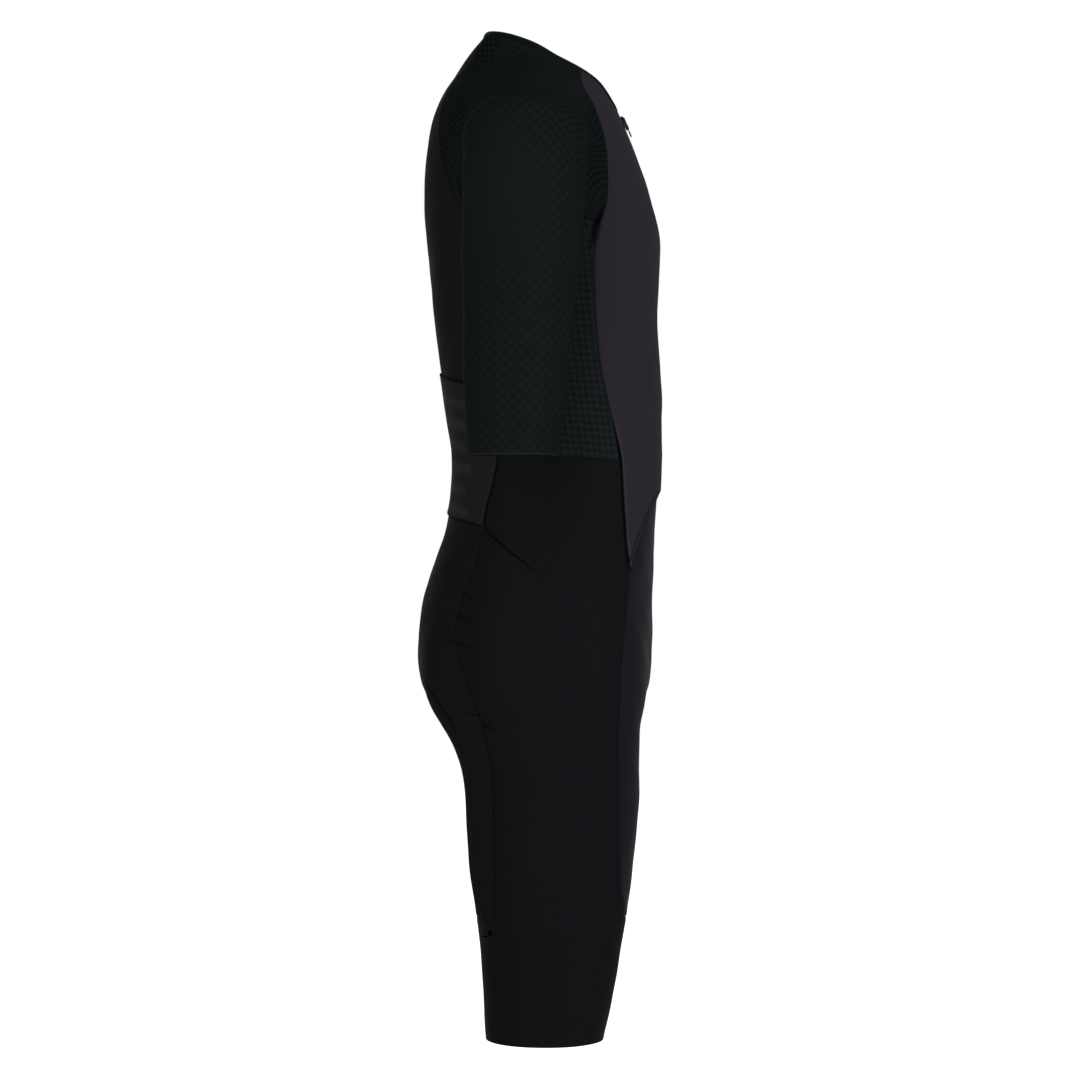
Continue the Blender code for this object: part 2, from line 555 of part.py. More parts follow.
def main():
    for old in list(bpy.data.objects):
        bpy.data.objects.remove(old, do_unlink=True)
    jersey = finish("jersey_front_cloth", (0.024, 0.021, 0.027), 0.55)
    backCloth = finish("jersey_back_cloth", (0.009, 0.009, 0.009), 0.65)
    checkKnit = finish("sleeve_knit", (0.007, 0.009, 0.010), 0.60)
    sideKnit = finish("side_knit", (0.008, 0.009, 0.010), 0.60)
    shortsCloth = finish("shorts_cloth", (0.008, 0.008, 0.009), 0.42)
    binding = finish("neck_binding_cloth", (0.006, 0.006, 0.006), 0.6)
    chain = finish("zip_chain_plastic", (0.010, 0.010, 0.011), 0.4)
    metal = finish("zip_metal", (0.015, 0.015, 0.016), 0.35, 0.9)

    frontRaglan, backRaglan = frontRaglanPath(), backRaglanPath()
    underarm = underarmPath(frontRaglan[-1], backRaglan[-1])
    frontZ = steps(frontRaglan[-1][2], (WAIST_FRONT_Z, SIDE_ROWS), (JERSEY_HEM_SIDE_Z, 4), (BAND_Z, 12))
    backZ = steps(backRaglan[-1][2], (WAIST_BACK_Z, SIDE_ROWS), (BACK_HEM_SIDE_Z, 3), (BAND_Z, 13))
    backTable = np.concatenate([[[backRaglan[-1][2], backRaglan[-1][1]]], BACK_SEAM])
    frontSeam = sidePath(FRONT_SEAM, frontZ)
    backSeam = sidePath(backTable, backZ)
    frontSeam[0], backSeam[0] = frontRaglan[-1], backRaglan[-1]
    hemRow, backHemRow = SIDE_ROWS + 4, SIDE_ROWS + 3

    # jersey front: beside the zip, from the neck to the slanting hem over the shorts
    neckFront = neckPath(0.0, NECK_FRONT, 24)
    edge = np.interp(ZIP_HALF + SEAM_GAP / 2, neckFront[:, 0], np.arange(25)) * NECK_FRONT / 24
    top = neckPath(edge, NECK_FRONT, HALF_COLUMNS)
    zipZ = np.linspace(top[0][2], JERSEY_HEM_Z, RAGLAN_ROWS + hemRow + 1)
    zipEdge = castOut(columnsOf(top[0][0], 0.0, zipZ), (0.0, -1.0, 0.0))
    side = join(frontRaglan, frontSeam[:hemRow + 1])
    hem = hemPath(zipEdge[-1], side[-1], HALF_COLUMNS)
    front = panel(top, hem, zipEdge, side)
    frontPoints = front.reshape(-1, 3)
    addPair("jersey_front", frontPoints, gridFaces(len(side) - 1, HALF_COLUMNS), jersey,
            out=overShorts(frontPoints))

    # zip chain down the centre front
    middle = castOut(columnsOf(0.0, 0.0, zipZ), (0.0, -1.0, 0.0))
    half = np.stack([middle, zipEdge], axis=1)
    half[:, 1, 0] = ZIP_HALF + SEAM_GAP / 2
    chainPoints = wholeWidth(half).reshape(-1, 3)
    addWall("zip_chain", chainPoints, gridFaces(len(zipZ) - 1, 2), chain,
            out=ZIP_PROUD + overShorts(chainPoints), wall=WALL + ZIP_PROUD)

    # back, in one piece, and the pocket that lies on it
    backTop = neckPath(180.0, NECK_BACK, HALF_COLUMNS)
    backSide = join(backRaglan, backSeam[:backHemRow + 1])
    backCentre = centrePath(1, np.linspace(backTop[0][2], BACK_HEM_Z, len(backSide)))
    backHem = crossPath(backCentre[-1], backSide[-1], HALF_COLUMNS)
    back = panel(backTop, backHem, backCentre, backSide)
    backWhole = wholeWidth(back)[:, ::-1]
    addWall("jersey_back", backWhole.reshape(-1, 3),
            gridFaces(backWhole.shape[0] - 1, backWhole.shape[1] - 1), backCloth)
    pocket = pocketGrid(back)
    addWall("back_pocket", pocket.reshape(-1, 3),
            gridFaces(pocket.shape[0] - 1, pocket.shape[1] - 1), backCloth, out=LAYER)

    # side knit panel from the underarm to the waist
    waist = crossPath(frontSeam[SIDE_ROWS], backSeam[SIDE_ROWS], SIDE_COLUMNS)
    sidePanel = panel(underarm, waist, frontSeam[:SIDE_ROWS + 1], backSeam[:SIDE_ROWS + 1])
    addPair("side_panel", sidePanel.reshape(-1, 3), gridFaces(SIDE_ROWS, SIDE_COLUMNS), sideKnit,
            gap=UNDERARM_GAP)

    buildSleeve(frontRaglan, backRaglan, underarm, checkKnit)

    # shorts: outer leg with the band that wraps round, front and seat
    innerRows = 5
    frontUnder = underPath(-1, -0.600, 4)
    backUnder = underPath(1, -0.600, 3)
    backUnder[-1] = frontUnder[-1]
    innerLeg = innerLegPath(frontUnder[-1], innerRows)
    bandOuter = crossPath(frontSeam[-1], backSeam[-1], SIDE_COLUMNS)
    bandFront = crossPath(innerLeg[-1], frontSeam[-1], HALF_COLUMNS)
    bandBack = crossPath(innerLeg[-1], backSeam[-1], HALF_COLUMNS)
    for path in (bandOuter, bandFront, bandBack):
        path[:, 2] = BAND_Z
    legRows = len(frontSeam) - 1 - SIDE_ROWS
    outerLeg = panel(waist, bandOuter, frontSeam[SIDE_ROWS:], backSeam[SIDE_ROWS:])
    ring = join(bandOuter, bandBack[::-1], bandFront)[:-1]
    bandPoints = [ring]
    rays = ring - np.array([LEG_AXIS_X, LOW_Y, 0])
    rays[:, 2] = 0
    rays /= np.linalg.norm(rays, axis=1, keepdims=True)
    for z in np.linspace(BAND_Z, HEM_Z, BAND_ROWS + 1)[1:]:
        bandPoints.append(castOut(columnsOf(LEG_AXIS_X, LOW_Y, z + 0 * rays[:, 0]), rays, reach=0.12))
    flat = np.concatenate([outerLeg[:-1].reshape(-1, 3)] + bandPoints)
    ringStart = legRows * (SIDE_COLUMNS + 1)
    faces = gridFaces(legRows, SIDE_COLUMNS)
    faces += gridFaces(BAND_ROWS, len(ring), ringStart, wrap=True)
    addPair("shorts_side", flat, faces, shortsCloth)

    shortsTop = castRound(np.linspace(0, 1, HALF_COLUMNS + 1) * math.degrees(
        math.atan2(frontSeam[SIDE_ROWS][0], -0.005 - frontSeam[SIDE_ROWS][1])),
        np.linspace(SHORTS_TOP_Z, WAIST_FRONT_Z, HALF_COLUMNS + 1))
    shortsTop[0, 0] = 0
    shortsTop[-1] = frontSeam[SIDE_ROWS]
    centreRows = legRows - 4 - innerRows
    centre = join(centrePath(-1, np.linspace(SHORTS_TOP_Z, -0.600, centreRows + 1)), frontUnder, innerLeg)
    shortsFront = panel(shortsTop, bandFront, centre, frontSeam[SIDE_ROWS:])
    addPair("shorts_front", shortsFront.reshape(-1, 3), gridFaces(legRows, HALF_COLUMNS), shortsCloth)

    seatRows = len(backSeam) - 1 - backHemRow
    centreRows = seatRows - 3 - innerRows
    centre = join(centrePath(1, np.linspace(BACK_HEM_Z, -0.600, centreRows + 1)), backUnder, innerLeg)
    seat = panel(backHem, bandBack, centre, backSeam[backHemRow:])[:, ::-1]
    addPair("seat", seat.reshape(-1, 3), gridFaces(seatRows, HALF_COLUMNS), shortsCloth)

    buildBinding(top, binding)
    buildSlider(middle, metal)


def overShorts(points):
    """How far the lower jersey front and its zip are moved out, to lie over the shorts."""
    return FRONT_LAYER * np.clip((OVERLAP_Z - points[:, 2]) / (OVERLAP_Z - SHORTS_TOP_Z), 0, 1)


def pocketGrid(back):
    """The pocket's points: the back panel's own rows, below a top edge between two of them."""
    share = np.linspace(POCKET_TOP_CENTRE, POCKET_TOP_SIDE, HALF_COLUMNS + 1)[:, None]
    top = back[POCKET_TOP_ROW] * (1 - share) + back[POCKET_TOP_ROW + 1] * share
    return wholeWidth(np.concatenate([top[None], back[POCKET_TOP_ROW + 1:]]))[:, ::-1]


def buildBinding(frontTop, cloth):
    """The bound edge of the neck, open at the zip."""
    half = join(frontTop, neckPath(NECK_FRONT, NECK_BACK, SLEEVE_COLUMNS),
                neckPath(NECK_BACK, 180.0, HALF_COLUMNS))
    out = normals(half)
    along = np.gradient(half, axis=0)
    up = np.cross(out, along)
    up /= np.linalg.norm(up, axis=1, keepdims=True)
    up *= np.sign(up[:, 2:])
    upper = half + up * BINDING_HEIGHT
    upper[-1, 0] = 0
    rows = np.stack([upper, half])
    whole = np.concatenate([rows * np.array([-1, 1, 1]), rows[:, -2::-1]], axis=1)[:, ::-1]
    out = np.concatenate([out * np.array([-1, 1, 1]), out[-2::-1]])[::-1]
    points = whole.reshape(-1, 3)
    faces = gridFaces(1, whole.shape[1] - 1)
    addWall("neck_binding", points, faces, cloth, out=(BINDING_WALL - WALL) / 2, wall=BINDING_WALL)


def blocks(sLevels, xLevels, hLevels, filled):
    """The outside of a stack of boxes as one closed mesh: corners as (x, s, h), and faces.
    filled(s, x, h) says of a box's middle whether it is solid."""
    def solid(i, j, k):
        if not (0 <= i < len(sLevels) - 1 and 0 <= j < len(xLevels) - 1 and 0 <= k < len(hLevels) - 1):
            return False
        return filled(*((levels[n] + levels[n + 1]) / 2
                        for levels, n in ((sLevels, i), (xLevels, j), (hLevels, k))))
    corners, faces = {}, []
    sides = {(1, 0, 0): ((1, 0, 0), (1, 1, 0), (1, 1, 1), (1, 0, 1)),
             (0, 1, 0): ((0, 1, 0), (0, 1, 1), (1, 1, 1), (1, 1, 0)),
             (0, 0, 1): ((0, 0, 1), (1, 0, 1), (1, 1, 1), (0, 1, 1))}
    for i in range(len(sLevels) - 1):
        for j in range(len(xLevels) - 1):
            for k in range(len(hLevels) - 1):
                if not solid(i, j, k):
                    continue
                for (di, dj, dk), quad in sides.items():
                    for sign in (1, -1):
                        if solid(i + sign * di, j + sign * dj, k + sign * dk):
                            continue
                        flip = quad if sign > 0 else tuple(
                            (a - di, b - dj, c - dk) for a, b, c in reversed(quad))
                        faces.append([corners.setdefault((i + a, j + b, k + c), len(corners))
                                      for a, b, c in flip])
    points = np.array([(xLevels[j], sLevels[i], hLevels[k]) for i, j, k in corners])
    return points, faces


def zipFrame(middle):
    """A place on the chain's outer face under the slider's top end, and the directions down
    the zip and straight out from it."""
    start = np.array([middle[:, c][::-1] for c in range(3)])
    at = lambda z: np.array([np.interp(z, start[2], start[c]) for c in range(3)])
    top, low = at(SLIDER_TOP_Z), at(SLIDER_TOP_Z - 0.022)
    down = (low - top) / np.linalg.norm(low - top)
    out = np.array([0.0, down[2], -down[1]])
    return top + out * (ZIP_PROUD + SEAM_GAP), down, out


def place(points, frame):
    """Points given as (x, down the zip, out from it), put where the zip is."""
    origin, down, out = frame
    return (origin + points[:, :1] * np.array([1.0, 0, 0]) + points[:, 1:2] * down
            + points[:, 2:] * out)


def orientOut(obj):
    bm = bmesh.new()
    bm.from_mesh(obj.data)
    bmesh.ops.recalc_face_normals(bm, faces=bm.faces)
    bm.to_mesh(obj.data)
    bm.free()


def buildSlider(middle, metal):
    """The slider stands on the closed chain. Two ears at its lower end hold the pull tab."""
    frame = zipFrame(middle)
    w, earIn, earOut = SLIDER_WIDTH / 2, EAR_INNER, EAR_OUTER
    s = (0.0, EAR_FROM, SLIDER_LENGTH, SLIDER_LENGTH + EAR_REACH)
    x = (-w, -earOut, -earIn, earIn, earOut, w)
    h = (0.0, SLIDER_HEIGHT, EAR_HEIGHT)
    filled = lambda s, x, h: ((s < SLIDER_LENGTH and h < SLIDER_HEIGHT)
                              or (s > EAR_FROM and earIn < abs(x) < earOut))
    points, faces = blocks(s, x, h, filled)
    body = points[:, 1] <= SLIDER_LENGTH
    wide = np.abs(points[:, 0]) > earOut + 1e-6
    points[body & wide, 0] *= 1 - SLIDER_TAPER * points[body & wide, 1] / SLIDER_LENGTH
    slider = addObject("zip_slider", place(points, frame), faces, metal)
    orientOut(slider)

    pivot = place(np.array([[0.0, PIVOT_DOWN, PIVOT_OUT]]), frame)[0]
    edge = [(PULL_NECK, -PULL_TOP), (PULL_NECK, PULL_SHOULDER), (PULL_WIDE, PULL_SHOULDER + 0.0011),
            (PULL_WIDE, PULL_LENGTH - 0.0012), (PULL_WIDE - 0.0009, PULL_LENGTH)]
    outline = edge + [(-a, b) for a, b in reversed(edge)]
    n = len(outline)
    flat = [(a, b, side * PULL_THICK / 2) for side in (1, -1) for a, b in outline]
    faces = [tuple(range(n)), tuple(range(2 * n - 1, n - 1, -1))]
    faces += [(i, i + n, (i + 1) % n + n, (i + 1) % n) for i in range(n)]
    local = place(np.array(flat), (np.zeros(3), frame[1], frame[2]))
    pull = addObject("zip_pull", local, faces, metal)
    orientOut(pull)
    pull.location = pivot


main()
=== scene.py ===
import json
import math
import bmesh
import bpy
import numpy as np
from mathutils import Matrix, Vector


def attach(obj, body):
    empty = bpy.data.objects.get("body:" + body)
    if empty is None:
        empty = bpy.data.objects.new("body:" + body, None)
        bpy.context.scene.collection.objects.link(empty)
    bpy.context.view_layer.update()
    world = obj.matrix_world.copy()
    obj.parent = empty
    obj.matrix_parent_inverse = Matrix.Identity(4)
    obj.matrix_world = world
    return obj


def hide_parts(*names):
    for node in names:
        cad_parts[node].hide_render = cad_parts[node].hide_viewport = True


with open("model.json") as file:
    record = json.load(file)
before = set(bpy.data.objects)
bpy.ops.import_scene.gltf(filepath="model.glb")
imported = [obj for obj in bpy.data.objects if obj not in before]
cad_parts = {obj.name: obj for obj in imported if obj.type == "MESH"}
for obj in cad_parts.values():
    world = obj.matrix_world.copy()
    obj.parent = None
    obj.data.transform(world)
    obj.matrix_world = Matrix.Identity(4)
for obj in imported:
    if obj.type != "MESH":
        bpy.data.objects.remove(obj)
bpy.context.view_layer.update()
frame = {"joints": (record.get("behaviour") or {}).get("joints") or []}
print("frame loaded")

# The suit lies on one smooth hollow form. Tables are for the wearer's left (+X) and are mirrored.
torsoRows = np.array([  # z, half width, front y, back y, roundness
    (0.06, 0.055, -0.046, 0.047, 2), (0.024, 0.059, -0.052, 0.0545, 2), (0.008, 0.064, -0.058, 0.068, 2),
    (-0.006, 0.071, -0.062, 0.078, 2), (-0.02, 0.096, -0.065, 0.087, 1.9),
    (-0.036, 0.13, -0.07, 0.097, 1.85), (-0.054, 0.15, -0.0775, 0.105, 1.85),
    (-0.075, 0.15, -0.087, 0.11, 1.95), (-0.105, 0.148, -0.0985, 0.114, 2.15),
    (-0.14, 0.145, -0.1095, 0.115, 2.35), (-0.175, 0.145, -0.1185, 0.1135, 2.5),
    (-0.215, 0.149, -0.1185, 0.1095, 2.5), (-0.26, 0.15, -0.1165, 0.1055, 2.5),
    (-0.31, 0.146, -0.1195, 0.0985, 2.4), (-0.35, 0.142, -0.121, 0.093, 2.4),
    (-0.39, 0.14, -0.119, 0.0872, 2.4), (-0.43, 0.142, -0.1175, 0.0872, 2.4),
    (-0.465, 0.148, -0.1148, 0.0925, 2.4), (-0.5, 0.155, -0.113, 0.104, 2.4),
    (-0.54, 0.162, -0.1117, 0.116, 2.4), (-0.58, 0.166, -0.1115, 0.121, 2.4),
    (-0.62, 0.166, -0.1095, 0.1185, 2.3), (-0.66, 0.158, -0.1, 0.102, 2.2),
    (-0.7, 0.146, -0.086, 0.082, 2.1)])
legRows = np.array([  # z, axis x, half width, front y, back y
    (-0.54, 0.085, 0.05, -0.07, 0.08), (-0.6, 0.087, 0.07, -0.095, 0.104),
    (-0.64, 0.088, 0.077, -0.0975, 0.102), (-0.66, 0.089, 0.078, -0.0965, 0.0935),
    (-0.68, 0.0895, 0.0777, -0.0963, 0.0842), (-0.7, 0.09, 0.0765, -0.0963, 0.077),
    (-0.73, 0.091, 0.0735, -0.0963, 0.0722), (-0.77, 0.092, 0.07, -0.0933, 0.0706),
    (-0.81, 0.0935, 0.0665, -0.0883, 0.0669), (-0.85, 0.0945, 0.0635, -0.0825, 0.061),
    (-0.89, 0.0955, 0.0605, -0.0755, 0.0563), (-0.93, 0.0965, 0.0585, -0.0687, 0.0543),
    (-0.966, 0.097, 0.057, -0.061, 0.052), (-1.01, 0.0975, 0.056, -0.056, 0.05)])
armRows = np.array([  # distance down the arm, half width, half depth
    (0, 0.053, 0.0585), (0.04, 0.0525, 0.0575), (0.08, 0.0505, 0.0562), (0.125, 0.048, 0.0545),
    (0.17, 0.046, 0.0518), (0.215, 0.044, 0.049), (0.265, 0.0415, 0.0455), (0.31, 0.039, 0.041),
    (0.35, 0.037, 0.0385)])
armTop = np.array([0.188, 0.013, -0.103])
armCap = 0.040  # height of the arm's rounded top above that point
armEnd = np.array([0.270, 0.0255, -0.405])
armBlend = np.array([  # z, how widely the arm runs into the body
    (-0.2, 0.01), (-0.184, 0.02), (-0.171, 0.044), (-0.158, 0.054), (-0.06, 0.07)])

# Seams: a row for each place
neckRows = np.array([  # degrees round the neck from the front, z
    (0, -0.053), (25, -0.0475), (48, -0.031), (64, -0.0205), (81, -0.008), (101, 0.0045), (123, 0.014),
    (151, 0.0205), (180, 0.023)])
frontRaglanRows = np.array([  # z, y
    (-0.0436, -0.0434), (-0.0596, -0.0521), (-0.0726, -0.0568), (-0.0854, -0.0606), (-0.0981, -0.0635),
    (-0.12, -0.0653), (-0.144, -0.0652), (-0.169, -0.0603), (-0.176, -0.0574)])
backRaglanRows = np.array([  # z, x
    (0, 0.04), (-0.03, 0.05), (-0.055, 0.06), (-0.077, 0.071), (-0.101, 0.087), (-0.128, 0.105),
    (-0.151, 0.118), (-0.161, 0.123), (-0.168, 0.127)])
frontSeamRows = np.array([  # z, y
    (-0.176, -0.0574), (-0.185, -0.054), (-0.216, -0.052), (-0.272, -0.0534), (-0.309, -0.0574),
    (-0.341, -0.0642), (-0.369, -0.0711), (-0.404, -0.0775), (-0.43, -0.0789), (-0.469, -0.0808),
    (-0.51, -0.0852), (-0.545, -0.0836), (-0.585, -0.0794), (-0.627, -0.0763), (-0.673, -0.0753),
    (-0.718, -0.0753), (-0.791, -0.0757), (-0.82, -0.0772), (-0.843, -0.08)])
backSeamRows = np.array([  # z, y
    (-0.2, 0.066), (-0.25, 0.057), (-0.3, 0.048), (-0.35, 0.0415), (-0.398, 0.0401), (-0.423, 0.044),
    (-0.442, 0.0488), (-0.468, 0.054), (-0.494, 0.0592), (-0.524, 0.0706), (-0.547, 0.0783),
    (-0.577, 0.0805), (-0.601, 0.0751), (-0.619, 0.0674), (-0.64, 0.0607), (-0.662, 0.0541),
    (-0.682, 0.0484), (-0.718, 0.0456), (-0.754, 0.0447), (-0.843, 0.0437)])
shoulderRows = np.array([  # x, z, y: along the top of the shoulder and down the outside of the arm
    (0.066, 0.006, 0.008), (0.095, -0.01, 0.012), (0.125, -0.023, 0.013), (0.155, -0.034, 0.013),
    (0.185, -0.043, 0.013), (0.212, -0.057, 0.013), (0.231, -0.075, 0.013), (0.241, -0.096, 0.014),
    (0.247, -0.12, 0.015), (0.252, -0.145, 0.016), (0.256, -0.165, 0.016), (0.26, -0.183, 0.017),
    (0.264, -0.2, 0.017), (0.3, -0.403, 0.025)])

levels = {  # heights and places that several pieces share
    "middleY": 0.010, "crotch": -0.668, "lowY": -0.006, "legFrom": -0.610, "legX": 0.0965,
    "legInside": 0.09, "neckFront": 64.0, "neckBack": 151.0, "cuff": -0.403, "waistFront": -0.404,
    "waistBack": -0.398, "frontHem": -0.432, "hemBow": 2.6, "frontHemSide": -0.510, "shortsTop": -0.395,
    "overlap": -0.360, "backHem": -0.454, "backHemSide": -0.467, "underFrom": -0.600, "band": -0.843,
    "hem": -0.962}
counts = {  # steps of the coarse grids, and how much finer the cloth is
    "side": 6, "half": 7, "sleeve": 16, "raglan": 9, "underarm": 3, "sideRows": 8, "hemRows": 4,
    "backHemRows": 3, "legRows": 12, "arm": 9, "inner": 5, "band": 4, "finer": 6}
layers = {"front": 0.0026, "pocket": 0.0019, "zip": 0.0009}  # how far they lie out from the form


def unit(v):
    return v / np.linalg.norm(v, axis=-1, keepdims=True)


def smoothTable(table, key):
    rows = table[np.argsort(table[:, 0])]
    at = rows[:, 0]
    key = np.clip(key, at[0], at[-1])
    k = np.clip(np.searchsorted(at, key) - 1, 0, len(at) - 2)
    slope = np.gradient(rows[:, 1:], at, axis=0)
    span = (at[k + 1] - at[k])[..., None]
    s = (key - at[k])[..., None] / span
    return (rows[k, 1:] * (2 * s**3 - 3 * s**2 + 1) + slope[k] * span * (s**3 - 2 * s**2 + s)
            + rows[k + 1, 1:] * (3 * s**2 - 2 * s**3) + slope[k + 1] * span * (s**3 - s**2))


def sectionDistance(u, v, halfU, halfV, power):
    r = np.hypot(u, v) + 1e-9
    ratio = (np.abs(u / halfU) ** power + np.abs(v / halfV) ** power) ** (1 / power) + 1e-9
    return r * (1 - 1 / ratio)


def softMin(a, b, blend):
    h = np.clip(0.5 + 0.5 * (b - a) / blend, 0, 1)
    return b * (1 - h) + a * h - blend * h * (1 - h)


def form(p):  # below 0 inside, above 0 outside
    x, y, z = np.abs(p[..., 0]), p[..., 1], p[..., 2]
    t = smoothTable(torsoRows, z)
    middle = levels["middleY"]
    depth = np.where(y < middle, middle - t[..., 1], t[..., 2] - middle)
    torso = sectionDistance(x, y - middle, t[..., 0], depth, t[..., 3])
    torso = -softMin(-torso, z - levels["crotch"], 0.050)
    g = smoothTable(legRows, z)
    leg = sectionDistance(x - g[..., 0], y - (g[..., 2] + g[..., 3]) / 2,
                          g[..., 1], (g[..., 3] - g[..., 2]) / 2, 2.1)
    leg = np.where(z > legRows[0, 0], 0.05, leg)
    axis = unit(armEnd - armTop)
    side = unit(np.cross((0.0, 1.0, 0.0), axis))
    q = np.stack([x, y, z], -1) - armTop
    along = q @ axis
    a = smoothTable(armRows, np.maximum(along, 0))
    u, v, w = q @ side, q @ np.cross(axis, side), np.minimum(along, 0)
    ratio = np.sqrt((u / a[..., 0])**2 + (v / a[..., 1])**2 + (w / armCap)**2) + 1e-9
    arm = np.sqrt(u * u + v * v + w * w) * (1 - 1 / ratio)
    return softMin(softMin(torso, leg, 0.024), arm, np.interp(z, *armBlend.T))


def gradient(p, h=0.0004):
    g = np.empty_like(p)
    for i in range(3):
        d = np.zeros(3)
        d[i] = h
        g[..., i] = (form(p + d) - form(p - d)) / (2 * h)
    return g


def normals(p):
    g = gradient(p)
    g[np.abs(p[..., 0]) < 1e-5, 0] = 0
    return unit(g)


def press(p, rounds=10):  # moves points onto the form; those on the centre plane stay on it
    p = p.copy()
    centre = np.abs(p[..., 0]) < 1e-5
    for _ in range(rounds):
        g = gradient(p)
        g[centre, 0] = 0
        d = g * (-form(p) / ((g * g).sum(-1) + 1e-12))[..., None]
        p += d * np.minimum(1, 0.01 / (np.linalg.norm(d, axis=-1, keepdims=True) + 1e-12))
    return p


def castOut(origin, direction, reach=0.30, step=0.006):  # where rays from inside leave the form
    origin, direction = np.broadcast_arrays(np.asarray(origin, float), np.asarray(direction, float))
    low, high = np.zeros(len(origin)), np.full(len(origin), np.nan)
    for s in np.arange(step, reach, step):
        outside = form(origin + direction * s) > 0
        high[np.isnan(high) & outside] = s
        low = np.where(np.isnan(high), s, low)
    high = np.where(np.isnan(high), reach, high)
    for _ in range(20):
        mid = (low + high) / 2
        outside = form(origin + direction * mid[:, None]) > 0
        low, high = np.where(outside, low, mid), np.where(outside, mid, high)
    return origin + direction * ((low + high) / 2)[:, None]


def columnsOf(*parts):
    return np.stack(np.broadcast_arrays(*parts), -1).astype(float)


def castSide(y, z, startX=0.0):
    return castOut(columnsOf(startX, y, z), (1.0, 0.0, 0.0))


def castRound(degrees, z):
    a = np.radians(degrees)
    return castOut(columnsOf(0.0, -0.005, z + 0 * a), columnsOf(np.sin(a), -np.cos(a), 0 * a))


def lengthAlong(points):
    return np.concatenate([[0], np.cumsum(np.linalg.norm(np.diff(points, axis=0), axis=1))])


def respace(points, count):
    length = lengthAlong(points)
    out = smoothTable(np.column_stack([length, points]), length[-1] * np.linspace(0, 1, count + 1))
    out[0], out[-1] = points[0], points[-1]
    out[1:-1] = press(out[1:-1])
    return out


def join(*paths):
    return np.concatenate([paths[0]] + [p[1:] for p in paths[1:]])


def neighbourMean(p):
    return (p[:-2, 1:-1] + p[2:, 1:-1] + p[1:-1, :-2] + p[1:-1, 2:]) / 4


def relax(p, first, rounds, presses):  # evens out a grid on the form; its borders stay
    p[1:-1, 1:-1] = press(p[1:-1, 1:-1], first)
    for _ in range(rounds):
        p[1:-1, 1:-1] = press(neighbourMean(p), presses)
    return p


def panel(top, bottom, left, right):  # a grid between four paths, pressed on the form
    s = np.linspace(0, 1, len(top))[None, :, None]
    t = np.linspace(0, 1, len(left))[:, None, None]
    p = (top * (1 - t) + bottom * t + left[:, None] * (1 - s) + right[:, None] * s
         - top[0] * (1 - s) * (1 - t) - top[-1] * s * (1 - t)
         - bottom[0] * (1 - s) * t - bottom[-1] * s * t)
    return relax(p, 10, 12, 2)


def finer(rows):  # the same path, or each column of a grid, with more points between
    n = len(rows)
    table = np.column_stack([np.arange(n, dtype=float), rows.reshape(n, -1)])
    out = smoothTable(table, np.linspace(0, n - 1, (n - 1) * counts["finer"] + 1))
    return out.reshape((-1,) + rows.shape[1:])


def finerGrid(grid):
    return finer(finer(grid).swapaxes(0, 1)).swapaxes(0, 1).copy()


def finerPath(path):
    out = press(finer(path), 4)
    out[0], out[-1] = path[0], path[-1]
    return out


def finerPanel(coarse, top, bottom, left, right):  # the borders are the fine seams themselves
    p = finerGrid(coarse)
    p[0], p[-1], p[:, 0], p[:, -1] = top, bottom, left, right
    return relax(p, 4, 4, 1)


def neckPath(start, end, count):
    a = np.linspace(start, end, count + 1)
    p = castRound(a, smoothTable(neckRows.astype(float), a)[:, 0])
    p[np.isclose(a % 180, 0), 0] = 0
    return p


def insideAt(z):  # where rays to the side start
    return np.where(z < levels["legFrom"], levels["legInside"], 0.0)


def sidePath(table, zs):
    return castSide(smoothTable(table, zs)[:, 0], zs, insideAt(zs))


def steps(*ends):  # levels from pairs of (end level, number of steps), after the first level
    out = [np.array([ends[0]])]
    for stop, count in ends[1:]:
        out.append(np.linspace(out[-1][-1], stop, count + 1)[1:])
    return np.concatenate(out)


def crossPath(start, end, count):
    s = np.linspace(0, 1, count + 1)[:, None]
    return respace(press(start * (1 - s) + end * s), count)


def hemPath(start, end, count):  # level beside the zip, and steeper towards the side seam
    path = crossPath(start, end, count)
    share = np.linspace(0, 1, count + 1)
    path[:, 2] = start[2] + (end[2] - start[2]) * share ** levels["hemBow"]
    path[1:-1] = press(path[1:-1])
    return respace(path, count)


def centrePath(side, zs):
    p = castOut(columnsOf(0.0, 0.0, zs), (0.0, float(side), 0.0))
    p[:, 0] = 0
    return p


def underPath(side, topZ, count):  # under the body to the lowest point between the legs
    top = centrePath(side, np.array([topZ]))[0]
    a = np.linspace(0, math.pi / 2, 9)
    low = levels["lowY"]
    guess = columnsOf(0.0, low + (top[1] - low) * np.cos(a), topZ + (levels["crotch"] - topZ) * np.sin(a))
    return respace(press(guess), count)


def armholeSeams():
    z, y = frontRaglanRows.T
    front = np.concatenate([neckPath(levels["neckFront"], 180, 1)[:1], castSide(y, z)])
    z, x = backRaglanRows.T
    back = np.concatenate([neckPath(levels["neckBack"], 180, 1)[:1],
                           castOut(columnsOf(x, 0.02, z), (0.0, 1.0, 0.0))])
    front, back = respace(front, counts["raglan"]), respace(back, counts["raglan"])
    s = np.linspace(-1, 1, 2 * counts["underarm"] + 1)[:, None]
    under = front[-1] * (1 - s) / 2 + back[-1] * (1 + s) / 2
    under[:, 0] += (0.024 * (1 - s * s) ** np.where(s < 0, 1.4, 1.0))[:, 0]
    under[:, 2] = -0.125  # the armpit is found straight below this line
    under = castOut(under, (0.0, 0.0, -1.0), reach=0.14, step=0.003)
    under[0], under[-1] = front[-1], back[-1]
    return front, back, under


